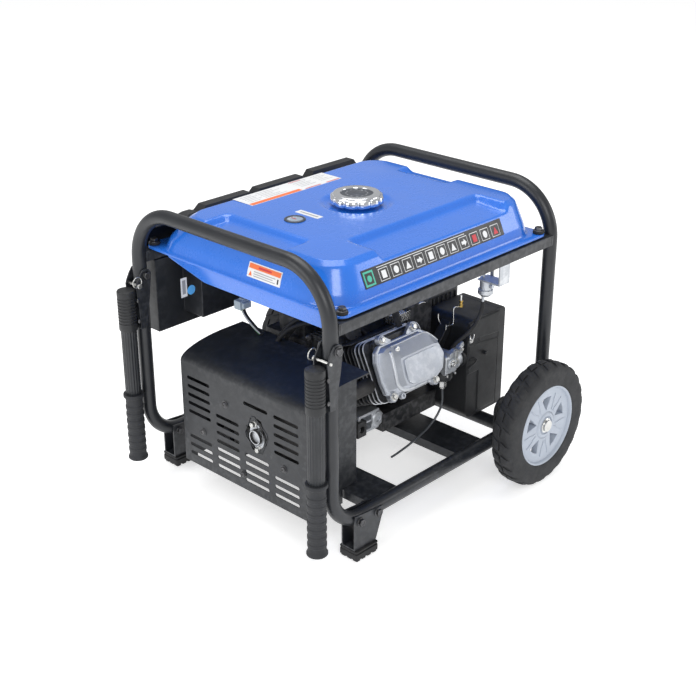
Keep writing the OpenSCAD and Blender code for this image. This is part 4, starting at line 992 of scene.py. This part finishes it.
def make_handle(label, side):
    body = "handle_" + label
    arm = "handle_arm_" + label

    def to(u, v, w):
        return place(-HOOP_X + u, side * (HOOP_Y - v), PIVOT_Z + w)

    def bar(u, v, w):
        return to(u - BAR_OUT, v, w)

    sleeve = Shape()
    profile = [(0.5, -24), (14.5, -24), (16.6, -24.6), (17.6, -26), (17.9, -28), (17.9, -34)]
    for k in range(9):
        z = -37 - 6.2 * k
        profile += [(17.9, z), (16.7, z - 1.0), (16.7, z - 2.6), (17.9, z - 3.6)]
    profile += [(17.9, -96), (17.9, -103.5), (17.2, -105.4), (15, -106), (0.5, -106)]
    sleeve.lathe(profile, bar, 64)
    sleeve.done("handle_sleeve_" + label, "moulded_black", body=body, angle=32, bevel=0.0003)

    def flutes(a, w):
        return -0.055 * (0.5 - 0.5 * math.cos(18 * a)) ** 0.8
    shaft = Shape()
    shaft.lathe([(15.4, -105), (15.4, -150), (15.4, -195), (15.4, -240), (14.5, -242)], bar, 288, flutes)
    shaft.done("handle_bar_" + label, "handle_black", body=body, replaces=(arm,), angle=60)

    grip = Shape()
    z0 = GRIP_END
    profile = [(0.5, z0), (16, z0), (18.2, z0 + 0.6), (19.4, z0 + 2), (19.4, z0 + 5.5), (18.2, z0 + 7.6),
               (16.8, z0 + 10)]
    for k in range(7):
        z = z0 + 18 + 15.5 * k
        profile += [(16.6, z), (17.6, z + 1.2), (17.6, z + 7.2), (16.6, z + 8.4)]
    profile += [(16.7, z0 + 131), (17.4, z0 + 135), (20.1, z0 + 137), (20.4, z0 + 138.4),
                (20.4, z0 + 142.6),
                (19.8, z0 + 144), (15.6, z0 + 144)]
    grip.lathe(profile, bar, 72)
    grip.done("handle_grip_rubber_" + label, "grip_rubber", body=body, replaces=("handle_grip_" + label,),
              angle=34, bevel=0.0003)

    plates = Shape()
    outline = [(-7, 11), (1, 12.6), (9, 9.5), (12.2, 4.5), (13, 0), (8, -40), (-5, -106), (-18, -106),
               (-20, -60),
               (-23.6, -24), (-24, -19), (-21, -11), (-14, 2)]
    for v in (-16.9, 13.9):
        plates.prism(outline, v, v + 3, lambda a, b, c: to(a, c, b))
    plates.box((-18, -15.5, -106), (-15, 15.5, -30), to)
    plates.done("handle_plates_" + label, "powder_black", body=body, bevel=0.0007, angle=30)

    rivets = Shape()
    for z in (-46, -88):
        for v in (-1, 1):
            rivets.lathe([(4.5, 16.4), (4.3, 17.6), (3.2, 18.5), (0.6, 18.9)],
                         lambda a, b, c, v=v, z=z: to(-22 + a * 0.7, v * c, z + b), 24)
    rivets.done("handle_rivets_" + label, "dark_zinc", body=body, angle=40)

    pin = Shape()
    pin.lathe([(0.6, -19.9), (2.4, -19.6), (2.9, -18.9), (2.9, 17.2), (5, 17.4), (5, 20.6), (4.3, 21.4),
               (0.6, 21.4)],
              lambda a, b, c: to(-17.5 + a, c, -17.5 + b), 32)
    centre = to(-22.5, 19.4, -8.5)
    loop = [centre + 10 * MM * Vector((math.cos(TAU * i / 40), 0,
                                       math.sin(TAU * i / 40))) for i in range(41)]
    pin.tube(loop, 1.15, 12)
    pin.done("lock_pin_ring_" + label, "zinc", body="pin_" + label, replaces=("lock_pin_" + label,),
             angle=40)


make_handle("engine_side", -1)
make_handle("panel_side", 1)


# ---------------------------------------------------------------- muffler and its cover

# The muffler cover's outer face, and how far its opening and the flange in it lean
COVER_FACE_X = -292
OUTLET_LEAN = math.radians(14)
OUTLET_AT = (-285, -41, 181)
COVER_SCREWS = ((41, 220), (108, 137), (-4, 89), (-115, 143))


def make_muffler_cover():
    refine("muffler_cover", "sheet_black", 0.0007, 3)
    screws = Shape()
    marks = Shape()
    for y, z in COVER_SCREWS:
        to = facing(COVER_FACE_X, y, z, (-1, 0, 0))
        screws.lathe([(7.6, 0.1), (7.6, 1.1), (6.6, 1.3)], to, 40)
        screws.lathe([(5.6, 1.2), (5.4, 3.0), (4.4, 4.3), (2.2, 5.0), (0.4, 5.1)], to, 40)
        # Cross slots: near-black strips laid on each screw head, a painted shade for the shadow in the
        # recesses
        for turn in (0, 90):
            a = math.radians(turn + 25)
            cross = facing(COVER_FACE_X, y, z, (-1, 0, 0), (0, math.cos(a), math.sin(a)))
            marks.prism(slit(0, 0, 5.2, 1.3, 5), 4.2, 5.25, cross)
    screws.done("muffler_cover_screws", "dark_zinc", angle=40, bevel=0.0002)
    # The slot strips are painted shade, not cut recesses
    marks.done("muffler_cover_screw_slot_shade", "muffler_steel")
    rims = Shape()
    to = facing(COVER_FACE_X, -43.5, 186, (-1, 0, 0), (0, math.sin(OUTLET_LEAN), math.cos(OUTLET_LEAN)))
    edge = [(-5, 35), (5, 35), (29, 5), (29, -5), (5, -35), (-5, -35), (-29, -5), (-29, 5)]
    wide = scaled(edge, 1.07)
    rims.stack(((edge, -1.2), (edge, 1.4), (wide, 0.9), (wide, 0.0)), to, closed=True)
    rims.done("muffler_cover_opening_rim", "sheet_black", bevel=0.0005, angle=30)


make_muffler_cover()
refine("muffler", "muffler_steel", 0.0015, 3)


def make_outlet():
    """Two-bolt flange with its outlet pipe in the cover's opening."""
    to = facing(*OUTLET_AT, (-1, 0, 0), (0, math.sin(OUTLET_LEAN), math.cos(OUTLET_LEAN)))
    flange = Shape()
    outline = []
    for i in range(72):
        a = TAU * i / 72
        c, s = math.cos(a), math.sin(a)
        outline.append((19 * c * (1 - 0.32 * abs(s) ** 3), 33 * s * (0.62 + 0.38 * abs(s) ** 1.5)))
    flange.stack([(outline, 0), (outline, 3.4), (scaled(outline, 0.96, 0.98), 4)], to)
    flange.ring_lathe([(12.6, -12), (12.6, 10), (13.4, 10.2), (14.9, 9.6), (15, 4), (15, -12)], to, 64)
    flange.done("exhaust_flange", "cast_alloy", angle=35)
    refine("exhaust_pipes", "muffler_steel", 0.0004)
    bolts = Shape()
    for v in (-25, 25):
        bolts.lathe([(3, 3), (3, 9.5), (2.4, 10)], shifted(to, 0, v), 24)
        bolts.bolt(shifted(to, 0, v), 9, 6.5, 8, 3.8)
    bolts.done("exhaust_flange_bolts", "zinc")


make_outlet()


# ---------------------------------------------------------------- engine

CYLINDER_LEAN = math.radians(25)


def on_cylinder(u, v, w):
    """Local drawing of the leaning cylinder: w runs up its axis."""
    c, s = math.cos(CYLINDER_LEAN), math.sin(CYLINDER_LEAN)
    return place(-18 + u, 60 + v * s - w * c, 178 + v * c + w * s)


# Engine parts: CAD node, finish, edge radius in metres, segments
ENGINE_PARTS = (
    ("crankcase", "engine_black", 0.0025, 3), ("cylinder_shroud", "engine_black", 0.0006, 2),
    ("intake_elbow", "moulded_black", 0.0015, 3), ("air_filter_base", "moulded_black", 0.0015, 3),
    ("air_filter_cover", "moulded_black", 0.002, 3), ("fan_shroud", "engine_black", 0.001, 2),
    ("recoil_cover", "moulded_black", 0.0012, 2), ("stator", "lamination", 0.0005, 2),
    ("alternator_end_bell", "engine_black", 0.0012, 3), ("engine_mounts", "rubber", 0.001, 2),
    ("spark_plug", "rubber", 0.0008, 2), ("crankshaft", "bright_steel", 0.0004, 2),
    ("choke_lever", "zinc", 0.0006, 2), ("oil_dipstick", "moulded_black", 0.0012, 3),
    ("recoil_grip", "moulded_black", 0.002, 3), ("fuel_valve", "cast_alloy", 0.0007, 2),
    ("fuel_valve_lever", "zinc", 0.0005, 2), ("fuel_hose", "rubber", 0),
)
for row in ENGINE_PARTS:
    refine(*row)


COVER_LUGS = ((-45, 55), (43, 55), (58, -57), (-60, -52))
COVER_EDGE = [(-76, -42), (-60, -53), (64, -54), (92, -33), (97, -9), (92, 14), (72, 37), (56, 47),
              (-58, 47),
              (-70, 38), (-77, 20), (-79, -17)]
# The same corners on the ridge round the top and on the flat panel, with their heights
COVER_RIDGE = [(-61, -38, 256), (-44, -48, 257), (55, -50, 258), (84, -32, 258), (91, -10, 259),
               (86, 14, 260),
               (68, 33, 260), (56, 39, 260.4), (-48, 38, 259), (-56, 33, 257), (-62, 18, 256),
               (-64, -17, 256)]
COVER_PANEL = [(-33, -40, 268), (-24, -46, 268), (50, -47.5, 269), (70, -38, 269), (84, -13, 269),
               (78, 9, 269),
               (66, 11.4, 269), (52, 11.7, 269), (-20, 12, 269), (-29, 11.4, 268.8), (-31.6, 6, 268.6),
               (-35, -25, 268)]


def make_valve_cover():
    """Die-cast cover: flanged edge, sloping upper facet, flat panel, curved rib, four lugs with bolts."""
    def inset(k, w):
        return [on_cylinder(u * k, v * k, w) for u, v in COVER_EDGE]
    cover = Shape()
    cover.loft([inset(1, 242), inset(1, 245.6), inset(0.985, 246.1), inset(0.985, 246.7), inset(1, 247.2),
                inset(1, 250.2), inset(0.97, 251)])
    cover.loft([inset(0.93, 250), inset(0.90, 252.6), [on_cylinder(*p) for p in COVER_RIDGE],
                [on_cylinder(*p) for p in COVER_PANEL]])
    panel = [(u * 0.9 + 3.4, v * 0.86 - 2.6) for u, v, _ in COVER_PANEL]
    cover.stack([(panel, 268), (scaled(panel, 0.985), 270.6)], on_cylinder)
    for u, v in COVER_LUGS:
        cover.lathe([(10, 242), (9.8, 251), (9.2, 252.2), (3.2, 252.2)],
                    shifted(on_cylinder, u, v), 40)
        away = Vector((u, v)).normalized()
        root = Vector((u * 0.72, v * 0.72))
        cover.prism([(u + away.y * 8.6, v - away.x * 8.6), (u - away.y * 8.6, v + away.x * 8.6),
                     (root.x - away.y * 14, root.y + away.x * 14),
                     (root.x + away.y * 14, root.y - away.x * 14)],
                    243, 250.8, on_cylinder)
    cover.lathe([(6.4, 243), (6.2, 250), (5.4, 251), (2.6, 251), (2.6, 247)],
                shifted(on_cylinder, -34, -58), 32)
    cover.done("valve_cover_casting", "cast_cover", replaces=("valve_cover",), bevel=0.0013, segments=3,
               angle=12)
    # The rib and the lip are raised parts of the cover's casting; they take a lighter alloy than the cover,
    # a painted highlight along them
    ribs_highlight = Shape()
    curve = route((
        (-43, 31, 261), (-44.5, 16, 261.6), (-46.5, 0, 261.6), (-48.5, -16, 261.2), (-49.5, -28, 260.6),
        (-46, -39, 260.2), (-36, -46.5, 260.8), (-20, -49.4, 261.5), (0, -50, 261.5), (24, -50.4, 261.5)),
        6, on_cylinder)
    ribs_highlight.tube(curve, [2.4] + [3.9] * (len(curve) - 2) + [2.0], 16)
    lip = route((
        (-36, 38.4, 260), (-10, 38.6, 260.4), (20, 39, 260.6), (50, 39, 260.8), (60, 37, 260.6),
        (68, 32.6, 260.4),
        (78, 23, 260.4), (86, 13.6, 260.2)), 5, on_cylinder)
    ribs_highlight.tube(lip, 1.7, 12)
    ribs_highlight.done("valve_cover_ribs_highlight", "cast_alloy", angle=60)
    bolts = Shape()
    for u, v in COVER_LUGS:
        bolts.bolt(shifted(on_cylinder, u, v), 10, 7.6, 6, 252.2)
    bolts.lathe([(5.6, 260.5), (5.4, 264), (4.2, 265.2), (1.6, 265.2), (1.6, 263.8)],
                shifted(on_cylinder, -24.7, 30), 28)
    bolts.done("valve_cover_bolts", "zinc", replaces=("cover_bolts",), bevel=0.0003)


make_valve_cover()


def fin_sheet(shape, half_u, half_v, w, thick):
    """A thin fin with softened edges."""
    full = rounded(-half_u, half_u, -half_v, half_v, 16, 8)
    drawn_in = rounded(-half_u + 1, half_u - 1, -half_v + 1, half_v - 1, 15, 8)
    shape.stack([(drawn_in, w), (full, w + thick * 0.3), (full, w + thick * 0.7), (drawn_in, w + thick)],
                on_cylinder)


def make_barrel():
    """Black cooling fins; the head's fin edges get thin strips of bright alloy as a painted highlight."""
    fins = Shape()
    fins.prism(rounded(-52, 52, -52, 52, 12), 100, 200, on_cylinder)
    for i in range(9):
        fin_sheet(fins, 76, 60, 105 + 11 * i, 2.6)
    fins.done("barrel_fins", "engine_black", replaces=("cylinder_barrel",), angle=30)
    head = Shape()
    head.prism(rounded(-62, 62, -56, 56, 10), 200, 241.8, on_cylinder)
    rims = Shape()
    for i in range(3):
        w = 207 + 11 * i
        fin_sheet(head, 80, 60, w, 2.8)
        # Bright alloy sleeve over each black fin edge: a painted highlight
        outer = rounded(-81, 81, -61, 61, 17, 8)
        inner = rounded(-79.4, 79.4, -59.4, 59.4, 15.4, 8)
        rims.stack(((inner, w + 0.5), (outer, w + 0.9), (outer, w + 2.1), (inner, w + 2.5)), on_cylinder,
                   closed=True)
    head.done("head_casting", "engine_black", replaces=("cylinder_head",), angle=30)
    rims.done("head_fin_edge_highlights", "cast_alloy", angle=30)


make_barrel()


CARB_X = 104
CARB_Y = -160


def make_carburettor():
    """Alloy body with its flanged upper mount, black bowl, bright hexagonal solenoid below."""
    along = facing(CARB_X, CARB_Y, 234, (1, 0, 0))
    body = Shape()
    body.stack([(rounded(-19, 19, -15, 22, 5), -18), (rounded(-20, 20, -16, 24, 6), -16.5),
                (rounded(-20, 20, -16, 24, 6), 14.5), (rounded(-19, 19, -15, 23, 5), 16)], along)
    body.lathe([(17, 15), (17, 22), (19.5, 23), (19.5, 28), (17, 29), (16.2, 40)], along, 48)
    front = facing(CARB_X, CARB_Y - 18, 240, (0, -1, 0))
    body.lathe([(11.5, 0), (11.5, 3), (10.4, 4.4), (6, 4.4), (6, 2.8)], front, 40)
    body.prism(rounded(-7, 33, 13, 24, 5), -10, 2.5, front)
    body.lathe([(7.4, 0), (7.4, 4.6), (6, 5.6)], shifted(front, 23, 26), 32)
    body.prism([(-4, 22), (36, 36), (39, 27), (24, 15), (-2, 13)], -8, 0.5, front)
    body.done("carburettor_body", "cast_alloy", replaces=("carburettor",), bevel=0.0009, segments=3,
              angle=30)
    bowl = Shape()
    below = facing(CARB_X - 3, CARB_Y, 224, (0, 0, -1), (0, 1, 0))
    bowl.lathe([(15, 0), (18.6, 4), (19.4, 9), (19.4, 17), (17.4, 21), (11, 22.4), (2, 22.4)], below, 48)
    bowl.lathe([(16.4, 17), (16.4, 33), (14, 38)], shifted(along, 0, -2), 40)
    bowl.done("carburettor_bowl", "moulded_black", bevel=0.0005, angle=30)
    bright = Shape()
    hexagon = polygon(0, 0, 8.4, 6)
    trimmed = scaled(hexagon, 0.9)
    small = scaled(hexagon, 0.66)
    bright.stack([(trimmed, 21.6), (hexagon, 22.6), (hexagon, 37), (trimmed, 38.4), (small, 38.4),
                  (small, 42.6)], below)
    bright.bolt(front, 9.5, 7.2, 5.5, 3.0)
    bright.bolt(shifted(front, 23, 26), 7, 5.4, 4.4, 5.4)
    for u in (-12, 12):
        bright.lathe([(2.6, -2), (2.6, 4.4), (1.9, 5)], facing(CARB_X + u, -176, 216, (0, -1, 0)), 20)
    bright.done("carburettor_fittings", "bright_steel", bevel=0.0004, angle=30)


make_carburettor()


def make_linkage():
    """Bent governor rod with its brass nipple, and the bright ends of the springs behind it."""
    rods = Shape()
    rods.tube(route((
        (183, -138, 326), (170, -139, 329), (157, -140, 332), (153.6, -140, 329), (153.8, -140, 314),
        (154.2, -140, 301), (151, -140, 296.6), (143, -140, 297), (132, -140, 299)), 5), 1.5, 12)
    rods.tube([place(177, -139, 341), place(177, -139, 352)], 2.4, 14)
    rods.tube(route(((99, -92, 341), (106, -97, 346), (114, -98, 343), (121, -94, 340)), 5), 1.6, 10)
    rods.tube(route(((106, -140, 334), (105, -141, 326), (108, -142, 318), (114, -141, 310)), 5), 1.2, 10)
    rods.tube([place(132, -140, 302), place(131, -140, 292)], 1.3, 10)
    rods.done("governor_rods", "bright_steel", angle=50)
    brass = Shape()
    brass.lathe([(4.4, 0), (4.4, 4), (3.2, 4.8), (3.2, 10), (4, 11), (4, 13), (2.6, 14)],
                upright(178, -139, 327), 28)
    brass.done("governor_nipple", "brass", bevel=0.0002, angle=30)


make_linkage()


# ---------------------------------------------------------------- panel

# Panel parts: CAD node, finish, edge radius in metres, segments
PANEL_PARTS = (
    ("panel_housing", "sheet_black", 0.0012, 3), ("panel_face", "moulded_black", 0.0006, 2),
    ("panel_hood", "moulded_black", 0.0014, 3), ("panel_fittings", "moulded_black", 0.0005, 2),
    ("outlet_cover", "moulded_black", 0.0008, 2), ("engine_switch", "switch_red", 0.0008, 2),
    ("breaker_button", "button_white", 0.0006, 2),
)
for row in PANEL_PARTS:
    refine(*row)


def make_harness():
    """Six insulated wires that run together, in two clips, with a connector."""
    route = [place(*p) for p in (
        (-80, 185, 380), (-98, 172, 379), (-120, 158, 375), (-142, 144, 368), (-160, 131, 358),
        (-167, 118, 344),
        (-162, 105, 326), (-150, 92, 304), (-136, 80, 284), (-124, 73, 268), (-120, 70, 257))]
    centre = spline(route, 6)
    for i, finish in enumerate(("wire_yellow", "wire_green", "wire_white", "rubber", "rubber",
                                "wire_yellow")):
        turn = TAU * i / 6
        points = []
        for k, p in enumerate(centre):
            a = turn + 0.05 * k
            points.append(p + 3.6 * MM * Vector((math.cos(a), math.sin(a) * 0.6, math.sin(a) * 0.6)))
        wire = Shape().tube(points, 1.7, 14)
        wire.done("harness_wire_" + str(i), finish, angle=60,
                  replaces=("wiring_harness",) if i == 0 else ())
    clips = Shape()
    for k in (18, 42):
        ahead = (centre[k + 1] - centre[k - 1]).normalized()
        side = ahead.orthogonal().normalized()
        up = ahead.cross(side)
        rings = []
        for i in range(32):
            a = TAU * i / 32
            out = math.cos(a) * side + math.sin(a) * up
            rings.append([centre[k] + out * r * MM + ahead * h * MM
                          for r, h in ((4.6, -2), (6.0, -2), (6.0, 2), (4.6, 2))])
        clips.loft(rings, closed=True)
    clips.done("harness_clips", "moulded_black", angle=30)
    plug = Shape()
    plug.box((-178, 118, 352), (-150, 136, 370))
    plug.box((-174, 112, 355), (-154, 119, 367))
    plug.box((-168, 121, 369), (-158, 133, 372.5))
    plug.done("harness_connector", "plug_grey", bevel=0.0012, segments=3)


make_harness()


PANEL_BOX_Y = 185
FILTER_FRONT_Y = -180


def make_box_stickers():
    """A plain white tag and a round blue one on the panel box's inner side."""
    def to(u, v, w):
        return place(u, PANEL_BOX_Y - w, v)
    tag = Sticker("box_tag", to)
    tag.field("label_white", -266, -251, 386, 425, 0.3)
    tag.field("label_grey", -262.5, -254.5, 392, 420, 0.45)
    tag.spot("label_blue", polygon(-241, 396, 9.5, 32), 0.4)
    tag.done()


make_box_stickers()


def make_filter_details():
    """Overhanging lid, raised front panel, clip and moulded hook on the filter's housing."""
    lid = Shape()
    lid.loft([[place(x, FILTER_FRONT_Y + 2, z) for x, z in ((153, 272), (249, 262), (249, 312),
                                                            (153, 312))],
              [place(x, FILTER_FRONT_Y - 2.6, z) for x, z in ((153.5, 274), (248.5, 264), (248.5, 309),
                                                     (153.5, 309))]])
    lid.loft([[place(x, FILTER_FRONT_Y + 2, z) for x, z in ((186, 104), (249, 104), (249, 254), (153, 263),
                                                   (153, 196), (186, 196))],
              [place(x, FILTER_FRONT_Y - 1.6, z) for x, z in ((188, 107), (248, 107), (248, 251),
                                                              (155, 260),
                                                     (155, 199),
                                                     (188, 199))]])
    lid.done("filter_front_ribs", "moulded_black", bevel=0.0016, segments=3, angle=25)
    hook = Shape()
    hook.tube(route(((150, -184, 214), (160, -186, 219), (172, -186, 223), (177, -184, 226),
                                          (172, -183, 230), (158, -182, 231)), 5), 1.8, 12)
    hook.done("filter_hook", "moulded_black", angle=50)
    clip = Shape()
    clip.tube(route(((153, -184, 285), (150, -187, 281), (154, -188, 277), (160, -187, 281),
                                          (164, -185, 286)), 5), 1.7, 12)
    clip.box((151, -187, 270), (160, -183.5, 279))
    clip.done("filter_clip", "bright_steel", bevel=0.0004, angle=40)


make_filter_details()


def make_engine_top():
    """Black brackets and hoses between engine, alternator and tank."""
    mass = Shape()
    mass.box((-112, 10, 262), (-46, 118, 300))
    mass.box((-100, 22, 299), (-58, 92, 338))
    mass.stack([(rounded(-98, -50, -46, 8, 8), 268), (rounded(-98, -50, -46, 8, 8), 304),
                (rounded(-92, -56, -40, 2, 6), 309)])
    for k in range(5):
        mass.box((-97 + 9 * k, -50, 272), (-93 + 9 * k, 12, 312))
    mass.done("engine_top_brackets", "engine_black", bevel=0.0014, segments=2, angle=30)
    pipes = Shape()
    for shift, rise in ((0, 0), (14, 12), (30, 4)):
        pipes.tube(route((
            (-150 + shift, 60, 262), (-152 + shift, 52, 292 + rise), (-132 + shift, 30, 326 + rise),
            (-100 + shift, 0, 338 + rise), (-66 + shift, -34, 330 + rise), (-44 + shift, -60, 306)), 6),
            4.6, 14)
    pipes.done("engine_top_hoses", "rubber", angle=50)
    glints = Shape()
    for x, y, z in ((-88, -52, 296), (-60, -52, 300), (-104, 8, 306), (-76, -20, 342), (-58, 30, 342)):
        glints.bolt(facing(x, y, z, (-0.3, -0.9, 0.3)), 8, 6, 5)
    glints.done("engine_top_bolts", "dark_zinc", bevel=0.0003)


make_engine_top()


def make_side_bracket():
    """Small boxed casting low on the engine's side, and the finned plate above the valve cover."""
    boxed = Shape()
    outer = rounded(-84, -24, 124, 166, 4, 4)
    inner = rounded(-78, -46, 130, 160, 3, 4)

    def to(u, v, w):
        return place(u, -100 + w, v)
    boxed.stack(((inner, 14), (outer, 14), (outer, -6), (inner, -6)), to, closed=True)
    boxed.prism(rounded(-80, -44, 143, 147, 1.5, 4), -4, 12, to)
    boxed.prism(rounded(-82, -26, 126, 164, 4, 4), 12, 86, to)
    boxed.lathe([(15, 8), (16.4, 4), (16.4, -6), (14, -9), (6, -9), (5, -5)],
                lambda u, v, w: place(-30 + u, -100 + w, 144 + v), 40)
    boxed.done("side_bracket", "cast_alloy", bevel=0.0012, segments=3, angle=30)
    plate = Shape()
    for k in range(5):
        plate.box((24, -98 + 5 * k, 322), (72, -95.4 + 5 * k, 340))
    plate.box((28, -96, 324), (68, -75, 336))
    plate.tube([place(72, -88, 330), place(86, -88, 330)], 3.2, 14)
    plate.done("finned_plate", "bright_steel", bevel=0.0005, angle=30)


make_side_bracket()


def make_air_duct():
    """Moulded air duct that fills the space between the fan shroud and the air filter."""
    duct = Shape()
    duct.stack([(rounded(143, 258, -72, 58, 12, 6), 264), (rounded(143, 258, -72, 58, 12, 6), 330),
                (rounded(149, 252, -66, 52, 10, 6), 336)])
    for k in range(7):
        duct.box((156 + 14 * k, -75, 270), (160 + 14 * k, -70, 326))
    duct.done("air_duct", "engine_black", bevel=0.0012, segments=2, angle=30)


make_air_duct()
